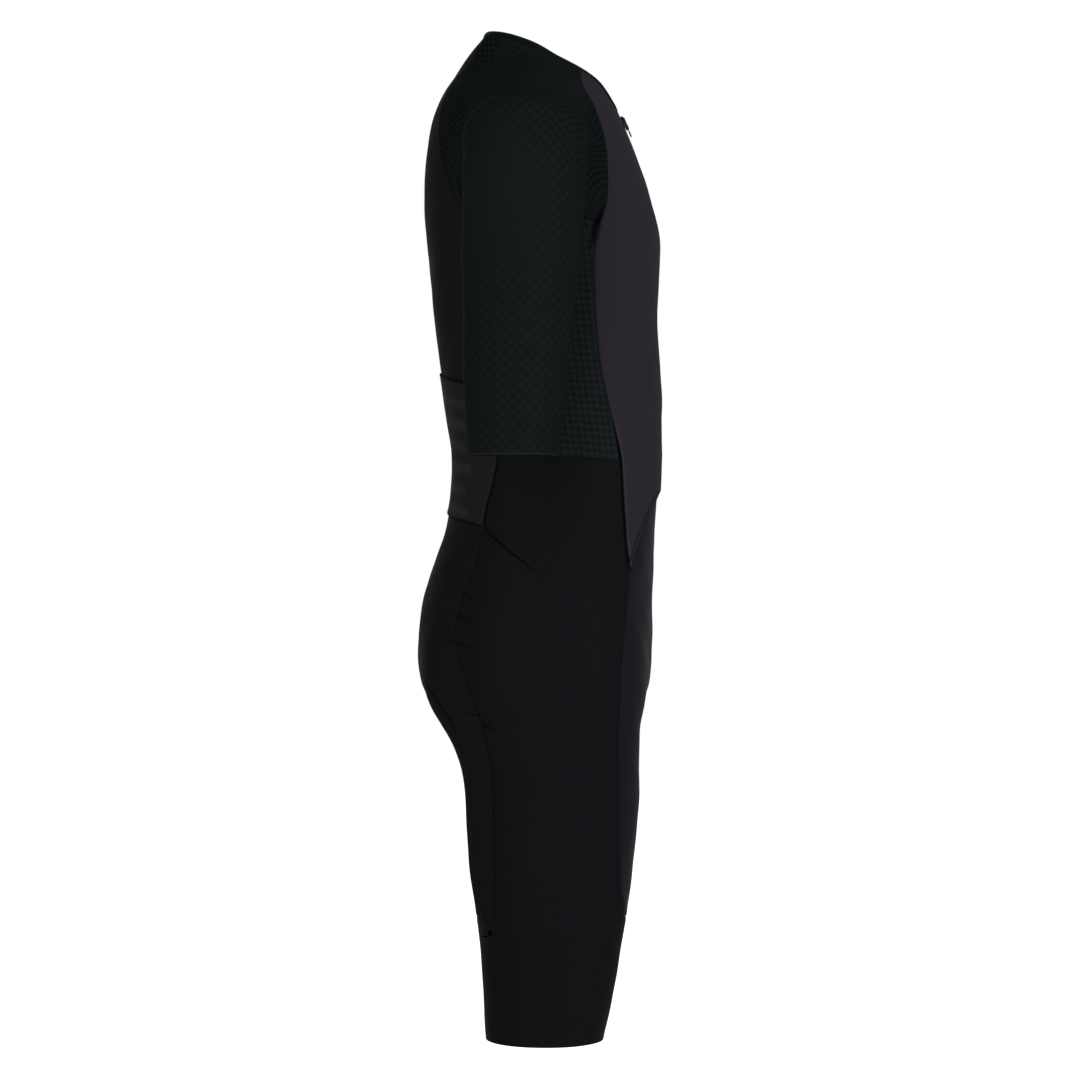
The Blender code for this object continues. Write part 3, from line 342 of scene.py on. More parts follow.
def arcRow(start, top, end, count, lift=0.0):  # on the circle through three places; lift clears folds
    half = count // 2
    if np.linalg.norm(end - start) < 1e-6:
        middle = (start + top) / 2
        toTop, toEnd = math.pi, 2 * math.pi
        e2 = np.array([0.0, -1.0, 0.0])
    else:
        a, b = start - top, end - top
        cross = np.cross(a, b)
        middle = top + np.cross((a @ a) * b - (b @ b) * a, cross) / (2 * cross @ cross)
        e1 = start - middle
        e2 = unit(np.cross(cross, e1))
        toTop, toEnd = (math.atan2((p - middle) @ e2, (p - middle) @ e1 / np.linalg.norm(e1))
                        % (2 * math.pi) for p in (top, end))
        if toTop > toEnd:
            e2 = -e2
            toTop, toEnd = 2 * math.pi - toTop, 2 * math.pi - toEnd
    e1 = start - middle
    at = np.concatenate([np.linspace(0, toTop, half + 1), np.linspace(toTop, toEnd, half + 1)[1:]])
    row = middle + np.cos(at)[:, None] * e1 + np.linalg.norm(e1) * np.sin(at)[:, None] * e2
    rise = np.abs(np.sin(np.linspace(0, 2 * math.pi, count + 1))) ** 0.5
    row += lift * rise[:, None] * np.array([0.8, 0.0, 1.0])
    row[1:-1] = press(row[1:-1])
    row[0], row[-1] = start, end
    return row


def armRow(outerZ, innerZ, count):  # a ring from the inside over the front, the outside and the back
    axis = unit(armEnd - armTop)
    centre = armTop + axis * ((outerZ + innerZ) / 2 - armTop[2]) / axis[2]
    across = unit(np.array([0.08, 0.0, outerZ - innerZ]))
    a = np.linspace(0, 2 * math.pi, count + 1)[:, None]
    rays = -np.cos(a) * across + np.sin(a) * np.array([0.0, -1.0, 0.0])
    return castOut(np.broadcast_to(centre, rays.shape), rays, reach=0.1, step=0.002)


def pathDistance(points, path):  # to the nearest place on a path, and the share of the way there
    best, share = np.full(len(points), 9.0), np.zeros(len(points))
    length = lengthAlong(path)
    for i, (a, b) in enumerate(zip(path[:-1], path[1:])):
        ab = b - a
        t = np.clip((points - a) @ ab / (ab @ ab + 1e-12), 0, 1)
        d = np.linalg.norm(points - a - t[:, None] * ab, axis=1)
        near = d < best
        best[near] = d[near]
        share[near] = (length[i] + t[near] * (length[i + 1] - length[i])) / length[-1]
    return best, share


def placesAt(at, key, path):  # the places on a path where its key has these values
    return np.stack([np.interp(at, key, column) for column in path.T], -1)


# Creases on the side of the body: depth, half width, then (y, z) places along each
creases = {
    "pocketCorner": (0.0022, 0.0032, ((0.0532, -0.4648), (0.0475, -0.4753), (0.0285, -0.4914),
                                      (0.0143, -0.5019), (0.0048, -0.5114))),
    "seatUpper": (0.0011, 0.004, ((0.08, -0.525), (0.0731, -0.5294), (0.0589, -0.5418))),
    "seatMiddle": (0.001, 0.0042, ((0.083, -0.5503), (0.074, -0.5533), (0.0635, -0.5572))),
    "seatLower": (0.0011, 0.0042, ((0.0905, -0.5735), (0.084, -0.576), (0.061, -0.5845))),
    "seatBack": (0.0009, 0.0035, ((0.104, -0.5665), (0.096, -0.5665), (0.0874, -0.5668))),
    "thighUpper": (0.001, 0.0034, ((0.069, -0.644), (0.0637, -0.6453), (0.0494, -0.6482))),
    "thighLower": (0.0013, 0.0036, ((0.069, -0.6508), (0.056, -0.655), (0.0418, -0.66))),
    "hemUpper": (0.0006, 0.0034, ((0.035, -0.86), (0.027, -0.869), (0.019, -0.877))),
    "hemLower": (0.0005, 0.003, ((0.04, -0.874), (0.032, -0.88), (0.023, -0.885))),
    "frontWaist": (0.001, 0.0028, ((-0.08, -0.406), (-0.0805, -0.415), (-0.0806, -0.424))),
    "backArmUpper": (0.0012, 0.003, ((0.08, -0.131), (0.0765, -0.145), (0.0735, -0.16))),
    "backArmLower": (0.0011, 0.0026, ((0.076, -0.136), (0.073, -0.15), (0.0705, -0.166))),
    "armpit": (0.003, 0.0032, ((-0.06, -0.163), (-0.057, -0.169), (-0.0535, -0.176), (-0.051, -0.183),
                               (-0.048, -0.2))),
    "underSeat": (0.002, 0.0036, ((0.1135, -0.611), (0.104, -0.627), (0.094, -0.642), (0.0835, -0.656),
                                  (0.079, -0.67)))}
creaseForm = {"ridge": 0.38, "ridgeAt": 2.1, "ridgeWidth": 1.1, "fade": 0.6}  # shares of depth and width
leftShift = (0.0040, -0.0070)  # the left side has like creases, not in the same places
waves = (  # slow unevenness of the worn cloth: height, and turns per metre across, deep and up
    (0.00030, 7.0, 9.0, 5.0, 0.3), (0.00022, -11.0, 6.0, 13.0, 1.9), (0.00016, 17.0, -15.0, 21.0, 4.1))
seamForm = {"groove": 0.00055, "grooveWidth": 0.0012, "ridge": 0.00030, "ridgeAt": 0.0034,
            "ridgeWidth": 0.0018}


def creasePaths():
    paths = []
    for side in (-1, 1):
        for i, (depth, width, places) in enumerate(creases.values()):
            y, z = np.array(places).T
            if side > 0:
                y, z = y + leftShift[0] * (z > -0.60), z + leftShift[1]
                depth = depth * (0.75 + 0.2 * math.sin(2.0 * i))
            paths.append((depth, width, castSide(y, z, insideAt(z)) * np.array([side, 1, 1])))
    return paths


creaseLines = creasePaths()


def relief(points):
    lift = np.zeros(len(points))
    for height, across, deep, up, phase in waves:
        lift += height * np.sin(points @ np.array([across, deep, up]) * 2 * math.pi + phase)
    for depth, width, path in creaseLines:
        near = np.linalg.norm(points - path.mean(axis=0), axis=1) < lengthAlong(path)[-1] / 2 + 5 * width
        d, share = pathDistance(points[near], path)
        fade = np.sin(np.pi * np.clip(share, 0.02, 0.98)) ** creaseForm["fade"]
        ridge = np.exp(-((d / width - creaseForm["ridgeAt"]) / creaseForm["ridgeWidth"])**2)
        lift[near] += depth * fade * (creaseForm["ridge"] * ridge - np.exp(-(d / width)**2))
    return lift


def seamLift(distance):  # sunk along a seam, raised beside it
    return (seamForm["ridge"] * np.exp(-((distance - seamForm["ridgeAt"]) / seamForm["ridgeWidth"])**2)
            - seamForm["groove"] * np.exp(-(distance / seamForm["grooveWidth"])**2))


def withEdges(grid):  # two more lines close to each border, for the sewn edge
    for _ in (0, 1):
        n = len(grid)
        at = np.concatenate([[0, 0.24, 0.58], np.arange(1, n - 1), [n - 1.58, n - 1.24, n - 1]])
        low = np.minimum(at.astype(int), n - 2)
        share = (at - low)[:, None, None]
        grid = (grid[low] * (1 - share) + grid[low + 1] * share).swapaxes(0, 1)
    return grid


def gridCells(grid, first=0):  # numbers of the points, and lengths across from the middle and down
    across = np.array([lengthAlong(row) for row in grid])
    across -= across[:, grid.shape[1] // 2][:, None]
    down = np.mean([lengthAlong(grid[:, j]) for j in range(grid.shape[1])], axis=0)
    index = np.arange(first, first + across.size).reshape(across.shape)
    return index, np.stack([across, np.broadcast_to(-down[:, None], across.shape)], -1)


def nearestOf(points, paths, limit):
    best = np.full(len(points), limit)
    for path in paths:
        best = np.minimum(best, pathDistance(points, path)[0])
    return best


def addMesh(name, vertices, faces, material, sharp, uv=None, outwards=False):
    mesh = bpy.data.meshes.new(name)
    mesh.from_pydata([tuple(v) for v in vertices], [], faces)
    if uv is not None:
        mesh.uv_layers.new(name="UVMap").data.foreach_set("uv", np.array(uv, dtype=np.float32).ravel())
    if outwards:
        work = bmesh.new()
        work.from_mesh(mesh)
        bmesh.ops.recalc_face_normals(work, faces=work.faces)
        work.to_mesh(mesh)
        work.free()
    mesh.shade_smooth()
    mesh.set_sharp_from_angle(angle=math.radians(sharp))
    mesh.materials.append(material)
    obj = bpy.data.objects.new(name, mesh)
    bpy.context.scene.collection.objects.link(obj)
    return obj


def cloth(name, points, cells, material, out=0.0, side=1, sewn=(), free=(), thick=0.0010, values=None):
    mirror = np.array([side, 1, 1])
    real, normal = points * mirror, normals(points) * mirror
    seam, rim = nearestOf(points, sewn, 0.03), nearestOf(points, free, 0.03)
    outer = real + normal * np.reshape(out + relief(real) + seamLift(seam), (-1, 1))
    n = len(points)
    faces, corners, vertexUv = [], [], np.zeros((n, 2))
    for index, uv in cells:
        vertexUv[index.ravel()] = uv.reshape(-1, 2)
        for grid, found in ((index, faces), (uv, corners)):
            four = [grid[:-1, :-1], grid[1:, :-1], grid[1:, 1:], grid[:-1, 1:]]
            found.append(np.stack(four, 2).reshape((-1, 4) + grid.shape[2:]))
    quads, quadUv = np.concatenate(faces), np.concatenate(corners)
    edges = {(q[k], q[(k + 1) % 4]): k for q in quads.tolist() for k in range(4)}
    rimQuads = np.array([(b, a, a + n, b + n) for a, b in edges if (b, a) not in edges])
    allQuads = np.concatenate([quads, quads[:, ::-1] + n, rimQuads])
    allUv = np.concatenate([quadUv, quadUv[:, ::-1], vertexUv[rimQuads % n]])
    if side < 0:
        allQuads, allUv = allQuads[:, ::-1], allUv[:, ::-1]
    vertices = np.concatenate([outer, outer - normal * thick])
    piece = addMesh(name, vertices, allQuads.tolist(), material, 55, allUv)
    for key, data in {**(values or {}), "seam": seam * 1000, "rim": rim * 1000}.items():
        attribute = piece.data.attributes.new(key, "FLOAT", "POINT")
        attribute.data.foreach_set("value", np.tile(data, 2).astype(np.float32))
    return piece


def overShorts(points):  # the lower jersey front lies over the shorts
    share = (levels["overlap"] - points[:, 2]) / (levels["overlap"] - levels["shortsTop"])
    return layers["front"] * np.clip(share, 0, 1)


# Node helpers
def newGroup(name, inputs, outputs):
    tree = bpy.data.node_groups.new(name, "ShaderNodeTree")
    for label, kind, value in inputs:
        socket = tree.interface.new_socket(label, in_out="INPUT", socket_type="NodeSocket" + kind)
        if value is not None:
            socket.default_value = value
    for label, kind in outputs:
        tree.interface.new_socket(label, in_out="OUTPUT", socket_type="NodeSocket" + kind)
    return tree, tree.nodes.new("NodeGroupInput").outputs, tree.nodes.new("NodeGroupOutput").inputs


def feed(tree, socket, value):
    if isinstance(value, bpy.types.NodeSocket):
        tree.links.new(value, socket)
    elif value is not None:
        socket.default_value = value


def calc(tree, operation, *values, clamp=False):
    node = tree.nodes.new("ShaderNodeMath")
    node.operation, node.use_clamp = operation, clamp
    for socket, value in zip(node.inputs, values):
        feed(tree, socket, value)
    return node.outputs[0]


def remap(tree, value, low, high, toLow=0.0, toHigh=1.0):
    node = tree.nodes.new("ShaderNodeMapRange")
    node.interpolation_type = "SMOOTHSTEP"
    for socket, v in zip(node.inputs, (value, low, high, toLow, toHigh)):
        feed(tree, socket, v)
    return node.outputs[0]


def blendColor(tree, share, a, b):
    node = tree.nodes.new("ShaderNodeMix")
    node.data_type = "RGBA"
    feed(tree, node.inputs[0], share)
    feed(tree, node.inputs[6], a)
    feed(tree, node.inputs[7], b)
    return node.outputs[2]


def makeKnitCells():  # round raised cells with soft dark hollows between them, turned by an angle
    tree, given, result = newGroup("knitCells", [("Vector", "Vector", None), ("Pitch", "Float", 0.0055),
                                                 ("Turn", "Float", 0.0), ("Line", "Float", 0.35)],
                                   [("Height", "Float"), ("Lines", "Float")])
    turn = tree.nodes.new("ShaderNodeVectorRotate")
    turn.rotation_type = "Z_AXIS"
    feed(tree, turn.inputs["Vector"], given["Vector"])
    feed(tree, turn.inputs["Angle"], given["Turn"])
    split = tree.nodes.new("ShaderNodeSeparateXYZ")
    feed(tree, split.inputs[0], turn.outputs[0])
    sides = []
    for k in (0, 1):
        turns = calc(tree, "DIVIDE", split.outputs[k], given["Pitch"])
        wave = calc(tree, "SINE", calc(tree, "MULTIPLY", turns, math.pi))
        sides.append(calc(tree, "MULTIPLY", wave, wave))
    both = calc(tree, "MULTIPLY", sides[0], sides[1])
    either = calc(tree, "MULTIPLY", calc(tree, "ADD", sides[0], sides[1]), 0.5)
    height = calc(tree, "MULTIPLY", calc(tree, "ADD", both, either), 0.5)
    feed(tree, result["Height"], height)
    feed(tree, result["Lines"], remap(tree, height, given["Line"], 0.0))
    return tree


def makeFineKnit():  # small V-shaped stitches in columns
    tree, given, result = newGroup("fineKnit", [("Vector", "Vector", None), ("Pitch", "Float", 0.0009)],
                                   [("Height", "Float")])
    split = tree.nodes.new("ShaderNodeSeparateXYZ")
    feed(tree, split.inputs[0], given["Vector"])
    across = calc(tree, "DIVIDE", split.outputs[0], given["Pitch"])
    down = calc(tree, "DIVIDE", split.outputs[1], given["Pitch"])
    bow = calc(tree, "ABSOLUTE", calc(tree, "SINE", calc(tree, "MULTIPLY", across, math.pi)))
    shifted = calc(tree, "ADD", calc(tree, "MULTIPLY", down, 1.3), calc(tree, "MULTIPLY", bow, 0.45))
    wave = calc(tree, "SINE", calc(tree, "MULTIPLY", shifted, 2 * math.pi))
    ribs = calc(tree, "MULTIPLY", calc(tree, "ADD", wave, 1.0), calc(tree, "MULTIPLY", bow, 0.5))
    feed(tree, result["Height"], ribs)
    return tree


def makeClothTone():  # slow drift and fine grain in the colour
    tree, given, result = newGroup("clothTone", [("Color", "Color", (0.5, 0.5, 0.5, 1)),
                                                 ("Drift", "Float", 0.15), ("Grain", "Float", 0.2)],
                                   [("Color", "Color"), ("Grain", "Float")])
    place = tree.nodes.new("ShaderNodeTexCoord").outputs["Object"]
    shades = []
    for scale, detail in ((9.0, 2.0), (900.0, 1.0)):
        noise = tree.nodes.new("ShaderNodeTexNoise")
        noise.inputs["Scale"].default_value = scale
        noise.inputs["Detail"].default_value = detail
        feed(tree, noise.inputs["Vector"], place)
        shades.append(calc(tree, "SUBTRACT", noise.outputs[0], 0.5))
    total = calc(tree, "ADD", calc(tree, "MULTIPLY", shades[0], given["Drift"]),
                 calc(tree, "MULTIPLY", shades[1], given["Grain"]))
    value = tree.nodes.new("ShaderNodeHueSaturation")
    feed(tree, value.inputs["Color"], given["Color"])
    feed(tree, value.inputs["Value"], calc(tree, "ADD", total, 1.0))
    feed(tree, result["Color"], value.outputs[0])
    feed(tree, result["Grain"], shades[1])
    return tree


def makeCreaseShadeLine():  # a thin line of painted crease shade between two places, seen from the side of the body
    tree, given, result = newGroup("creaseShadeLine", [("Place", "Vector", None), ("Start", "Vector", None),
                                                ("End", "Vector", None), ("Width", "Float", 0.001),
                                                ("StartShare", "Float", 1.0), ("EndShare", "Float", 1.0)],
                                   [("Mask", "Float")])

    def vector(operation, *values, output=0):
        node = tree.nodes.new("ShaderNodeVectorMath")
        node.operation = operation
        for socket, value in zip(node.inputs, values):
            feed(tree, socket, value)
        return node.outputs[output]

    run = vector("SUBTRACT", given["End"], given["Start"])
    fromStart = vector("SUBTRACT", given["Place"], given["Start"])
    along = calc(tree, "DIVIDE", vector("DOT_PRODUCT", fromStart, run, output="Value"),
                 vector("DOT_PRODUCT", run, run, output="Value"), clamp=True)
    scaled = tree.nodes.new("ShaderNodeVectorMath")
    scaled.operation = "SCALE"
    feed(tree, scaled.inputs[0], run)
    feed(tree, scaled.inputs["Scale"], along)
    away = vector("LENGTH", vector("SUBTRACT", fromStart, scaled.outputs[0]), output="Value")
    rise = calc(tree, "SUBTRACT", given["EndShare"], given["StartShare"])
    strength = calc(tree, "ADD", given["StartShare"], calc(tree, "MULTIPLY", along, rise))
    feed(tree, result["Mask"], calc(tree, "MULTIPLY", remap(tree, away, given["Width"], 0.0), strength))
    return tree


knitCells, fineKnit, clothTone, creaseShadeLine = makeKnitCells(), makeFineKnit(), makeClothTone(), makeCreaseShadeLine()


def placeGroup(tree, group, **inputs):
    node = tree.nodes.new("ShaderNodeGroup")
    node.node_tree = group
    for label, value in inputs.items():
        feed(tree, node.inputs[label], value)
    return node.outputs


def attributeOf(tree, name):
    node = tree.nodes.new("ShaderNodeAttribute")
    node.attribute_name = name
    return node.outputs["Fac"]


creaseShadeLines = {  # half width of the thin line of painted shade in a crease, and how dark it is
    "pocketCorner": (0.0013, 1.0), "seatUpper": (0.0017, 0.55), "seatMiddle": (0.0018, 0.65),
    "seatLower": (0.0018, 0.70), "seatBack": (0.0016, 0.4), "thighUpper": (0.0016, 0.6),
    "thighLower": (0.0019, 0.80), "hemUpper": (0.0010, 0.45), "hemLower": (0.0010, 0.4),
    "frontWaist": (0.0010, 0.5), "backArmUpper": (0.0012, 0.8), "backArmLower": (0.0011, 0.8),
    "armpit": (0.0036, 1.0), "underSeat": (0.0013, 0.75)}


def creaseShadeMask(tree, names, limit):  # the painted crease shade lines show from 0.08 m out to the limit
    place = tree.nodes.new("ShaderNodeTexCoord").outputs["Object"]
    split, together = tree.nodes.new("ShaderNodeSeparateXYZ"), tree.nodes.new("ShaderNodeCombineXYZ")
    feed(tree, split.inputs[0], place)
    left = calc(tree, "GREATER_THAN", split.outputs[0], 0.0)
    for k in (0, 1):
        moved = calc(tree, "SUBTRACT", split.outputs[k + 1], calc(tree, "MULTIPLY", left, leftShift[k]))
        feed(tree, together.inputs[k + 1], moved)
    total = None
    for name in names:
        width, dark = creaseShadeLines[name]
        places = creases[name][2]
        share = dark * np.sin(np.linspace(0.12, 1, len(places)) * math.pi * 0.94) ** 0.5
        for i, (a, b) in enumerate(zip(places[:-1], places[1:])):
            mask = placeGroup(tree, creaseShadeLine, Place=together.outputs[0], Start=(0, *a), End=(0, *b),
                              Width=width, StartShare=share[i], EndShare=share[i + 1])["Mask"]
            total = mask if total is None else calc(tree, "MAXIMUM", total, mask)
    across = calc(tree, "ABSOLUTE", split.outputs[0])
    inside, outside = remap(tree, across, 0.072, 0.080), remap(tree, across, limit + 0.01, limit)
    return calc(tree, "MULTIPLY", total, calc(tree, "MULTIPLY", inside, outside))


cellForm = {"hollow": 0.72, "relief": 0.45}  # how wide the dark hollows are, and their depth
shades = {"seam": 0.35, "seamHighlight": 1.9, "fold": 0.12, "rim": 0.15, "cuff": 2.6}  # times its colour: below 1 for painted shade at seams, in creases and along rims, above 1 for painted highlights beside seams and along the cuff; the rim factor also darkens the hem line
plainLook = {"roughness": 0.60, "knit": 0.0008, "knitDepth": 0.05, "drift": 0.10, "grain": 0.25,
             "paintedSeamShade": 0.8}


def applyTone(tree, shader, color, look, unevenness):  # colour with drift and grain, and roughness to match
    tone = placeGroup(tree, clothTone, Color=color, Drift=look["drift"], Grain=look["grain"])
    feed(tree, shader.inputs["Base Color"], tone["Color"])
    rough = calc(tree, "ADD", calc(tree, "MULTIPLY", tone["Grain"], unevenness), look["roughness"])
    feed(tree, shader.inputs["Roughness"], rough)
    return tone["Grain"]


def applyRelief(tree, shader, height, distance):
    bump = tree.nodes.new("ShaderNodeBump")
    bump.inputs["Strength"].default_value = 1.0
    bump.inputs["Distance"].default_value = distance
    feed(tree, bump.inputs["Height"], height)
    feed(tree, shader.inputs["Normal"], bump.outputs[0])


def newMaterial(name):
    material = bpy.data.materials.new(name)
    material.use_nodes = True
    return material, material.node_tree, material.node_tree.nodes["Principled BSDF"]


def clothMaterial(name, look):
    material, tree, shader = newMaterial(name)
    uv = tree.nodes.new("ShaderNodeUVMap").outputs[0]
    color = (*look["color"], 1)

    # blends towards the cloth's colour times a factor, for the painted shade and highlights below and for
    # the hem line
    def shaded(share, factor):
        return blendColor(tree, share, color, (*[c * factor for c in look["color"]], 1))

    fineStitches = placeGroup(tree, fineKnit, Vector=uv, Pitch=look["knit"])["Height"]
    height = calc(tree, "MULTIPLY", fineStitches, look["knitDepth"])
    lines = None
    for style in look.get("cells", ()):
        cells = placeGroup(tree, knitCells, Vector=uv, Pitch=style["pitch"], Turn=style["turn"],
                           Line=cellForm["hollow"])
        strength = attributeOf(tree, style["where"]) if "where" in style else 1.0
        shown = calc(tree, "MULTIPLY", cells["Lines"], strength)
        lines = shown if lines is None else calc(tree, "MAXIMUM", lines, shown)
        raised = calc(tree, "MULTIPLY", cells["Height"], strength)
        raised = calc(tree, "MULTIPLY", raised, cellForm["relief"])
        height = calc(tree, "ADD", height, raised)
    if lines is not None:
        share = calc(tree, "MULTIPLY", lines, look["lineShare"])
        color = blendColor(tree, share, color, (*look["lineColor"], 1))
    if "stripes" in look:
        color = blendColor(tree, attributeOf(tree, "stripe"), color, (*look["stripes"], 1))
    seam, rim = attributeOf(tree, "seam"), attributeOf(tree, "rim")
    # painted shade along the seams
    color = shaded(remap(tree, seam, 0.0, 1.6, look["paintedSeamShade"], 0.0), shades["seam"])
    # painted highlight on the raised cloth beside the seams
    if "paintedSeamHighlight" in look:
        beside = calc(tree, "MULTIPLY", remap(tree, seam, 0.6, 1.3), remap(tree, seam, 3.0, 1.6))
        color = shaded(calc(tree, "MULTIPLY", beside, look["paintedSeamHighlight"]), shades["seamHighlight"])
    # painted shade in the creases; the same lines also sink the bump
    if "folds" in look:
        folds = creaseShadeMask(tree, look["folds"], look.get("foldLimit", 0.3))
        color = shaded(calc(tree, "MULTIPLY", folds, 0.95), shades["fold"])
        height = calc(tree, "SUBTRACT", height, calc(tree, "MULTIPLY", folds, 0.6))
    # painted shade along the free rims, such as the pocket top and the front hem
    if "paintedRimShade" in look:
        color = shaded(remap(tree, rim, 0.7, 1.8, look["paintedRimShade"], 0.0), shades["rim"])
    if "hemLine" in look:
        place, width = look["hemLine"]  # from the border, in millimetres
        line = calc(tree, "MULTIPLY", remap(tree, rim, place - width, place),
                    remap(tree, rim, place + width, place))
        color = shaded(calc(tree, "MULTIPLY", line, 0.9), shades["rim"])
    # painted highlight (sheen) along the free rims, which on the sleeve is the cuff
    if "paintedRimHighlight" in look:
        color = shaded(remap(tree, rim, 0.3, 1.8, look["paintedRimHighlight"], 0.0), shades["cuff"])
    applyTone(tree, shader, color, look, 0.12)
    shader.inputs["IOR"].default_value = look["ior"]
    applyRelief(tree, shader, height, 0.001)
    return material


knitLook = {"roughness": 0.62, "knit": 0.0011, "knitDepth": 0.06, "drift": 0.12, "grain": 0.30}
shortsLook = {"knit": 0.0006, "knitDepth": 0.025, "grain": 0.20}
looks = {  # colours are linear; depths in millimetres, pitches in metres
    "jerseyFront": {"color": (0.0212, 0.0192, 0.0250), "roughness": 0.55, "ior": 1.07, "drift": 0.14,
                    "grain": 0.22, "paintedSeamHighlight": 0.5, "paintedRimShade": 0.8, "hemLine": (5.0, 1.0)},
    "jerseyBack": {"color": (0.0092, 0.0090, 0.0091), "ior": 1.03},
    "pocket": {"color": (0.0142, 0.0130, 0.0140), "ior": 1.03, "stripes": (0.0176, 0.0216, 0.0200),
               "paintedRimShade": 0.9},
    "sleeve": {**knitLook, "color": (0.0078, 0.0102, 0.0106), "ior": 1.02, "paintedRimHighlight": 0.5,
               "lineShare": 0.66, "lineColor": (0.0014, 0.0020, 0.0022),
               "folds": ("backArmUpper", "backArmLower", "armpit"), "foldLimit": 0.170,
               "cells": ({"pitch": 0.0074, "turn": 0.0, "where": "squares"},
                         {"pitch": 0.0071, "turn": math.pi / 4, "where": "diamonds"})},
    "sideKnit": {**knitLook, "color": (0.0120, 0.0152, 0.0160), "ior": 1.03, "lineShare": 0.48,
                 "lineColor": (0.0020, 0.0028, 0.0030), "folds": ("armpit",),
                 "cells": ({"pitch": 0.0067, "turn": 0.0},)},
    "shorts": {**shortsLook, "color": (0.0058, 0.0063, 0.0073), "roughness": 0.45, "ior": 1.05,
               "paintedSeamShade": 0.45,
               "folds": ("pocketCorner", "seatUpper", "seatMiddle", "seatLower", "thighUpper",
                         "thighLower", "hemUpper", "hemLower")},
    "shortsFront": {**shortsLook, "color": (0.0073, 0.0080, 0.0114), "roughness": 0.40, "ior": 1.10,
                    "paintedSeamShade": 0.9},
    "seat": {**shortsLook, "color": (0.0073, 0.0079, 0.0090), "roughness": 0.55, "ior": 1.025,
             "knitDepth": 0.03, "paintedSeamShade": 0.45,
             "folds": ("seatUpper", "seatMiddle", "seatLower", "seatBack", "thighUpper", "underSeat")},
    "binding": {"color": (0.0058, 0.0070, 0.0070), "roughness": 0.55, "ior": 1.08, "knit": 0.0007,
                "drift": 0.08, "paintedSeamShade": 0.0},
    "zipTape": {"color": (0.0050, 0.0050, 0.0052), "roughness": 0.65, "ior": 1.10, "knit": 0.0006,
                "knitDepth": 0.06, "drift": 0.05, "paintedSeamShade": 0.0}}
materials = {key: clothMaterial(key + "Cloth", {**plainLook, **look}) for key, look in looks.items()}
print("materials made")


# Seams, worked out coarsely and then finely; neighbouring pieces share each one
frontRaglan, backRaglan, underarm = armholeSeams()
waistRow, hemRow = counts["sideRows"], counts["sideRows"] + counts["hemRows"]
backHemRow = counts["sideRows"] + counts["backHemRows"]
lastRow = hemRow + counts["legRows"]
frontZ = steps(frontRaglan[-1][2], (levels["waistFront"], waistRow),
               (levels["frontHemSide"], hemRow - waistRow), (levels["band"], lastRow - hemRow))
backZ = steps(backRaglan[-1][2], (levels["waistBack"], waistRow),
              (levels["backHemSide"], backHemRow - waistRow), (levels["band"], lastRow - backHemRow))
backTable = np.concatenate([[[backRaglan[-1][2], backRaglan[-1][1]]], backSeamRows])
frontSeam, backSeam = sidePath(frontSeamRows, frontZ), sidePath(backTable, backZ)
frontSeam[0], backSeam[0] = frontRaglan[-1], backRaglan[-1]
fine = counts["finer"]
fineFrontRaglan, fineBackRaglan, fineUnderarm, fineFrontSeam, fineBackSeam = (
    finerPath(path) for path in (frontRaglan, backRaglan, underarm, frontSeam, backSeam))
legFront, legBack = fineFrontSeam[waistRow * fine:], fineBackSeam[waistRow * fine:]
seatSide = fineBackSeam[backHemRow * fine:]
neckFront, neckBack = levels["neckFront"], levels["neckBack"]
waist = crossPath(frontSeam[waistRow], backSeam[waistRow], counts["side"])
fineWaist = finerPath(waist)
zipHalf = 0.0050
print("seams placed")


def pair(name, node, slot, sheet, *args, **kwargs):  # the same piece on both sides of the body
    for side, word in ((1, "left"), (-1, "right")):
        piece = cloth(f"{name}_{word}", *args, side=side, **kwargs)
        settle(piece, f"{node}_{word}")


def settle(piece, node):
    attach(piece, "suit")
    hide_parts(node)
    area = sum(p.area for p in piece.data.polygons) / 2
    print(f"  {piece.name}: {len(piece.data.polygons)} faces, {area:.4f} m2 shown")


jerseyFront = {"flat": (0.17, 0.50), "area": 0.058}
neckPathFront = neckPath(0.0, neckFront, 24)
edge = np.interp(zipHalf, neckPathFront[:, 0], np.linspace(0.0, neckFront, 25))
frontTop = neckPath(edge, neckFront, counts["half"])
zipZ = np.linspace(frontTop[0][2], levels["frontHem"], counts["raglan"] + hemRow + 1)
zipEdge = castOut(columnsOf(frontTop[0][0], 0.0, zipZ), (0.0, -1.0, 0.0))
frontSide = join(frontRaglan, frontSeam[:hemRow + 1])
frontHem = hemPath(zipEdge[-1], frontSide[-1], counts["half"])
coarse = panel(frontTop, frontHem, zipEdge, frontSide)
fineZipEdge, fineFrontHem = finerPath(zipEdge), finerPath(frontHem)
fineFrontSide = join(fineFrontRaglan, fineFrontSeam[:hemRow * fine + 1])
front = withEdges(finerPanel(coarse, finerPath(frontTop), fineFrontHem, fineZipEdge, fineFrontSide))
points = front.reshape(-1, 3)
pair("jersey_front_cloth", "jersey_front", "jersey_front", jerseyFront, points, [gridCells(front)],
     materials["jerseyFront"], out=overShorts(points), sewn=[fineFrontSide, fineZipEdge],
     free=[fineFrontHem])
print("jersey front made")

backTop = neckPath(180.0, neckBack, counts["half"])
backSide = join(backRaglan, backSeam[:backHemRow + 1])
backCentre = centrePath(1, np.linspace(backTop[0][2], levels["backHem"], len(backSide)))
backHem = crossPath(backCentre[-1], backSide[-1], counts["half"])
coarse = panel(backTop, backHem, backCentre, backSide)
fineBackHem, fineBackSide = finerPath(backHem), join(fineBackRaglan, fineBackSeam[:backHemRow * fine + 1])
halfBack = finerPanel(coarse, finerPath(backTop), fineBackHem, finerPath(backCentre), fineBackSide)
flip = np.array([-1, 1, 1])


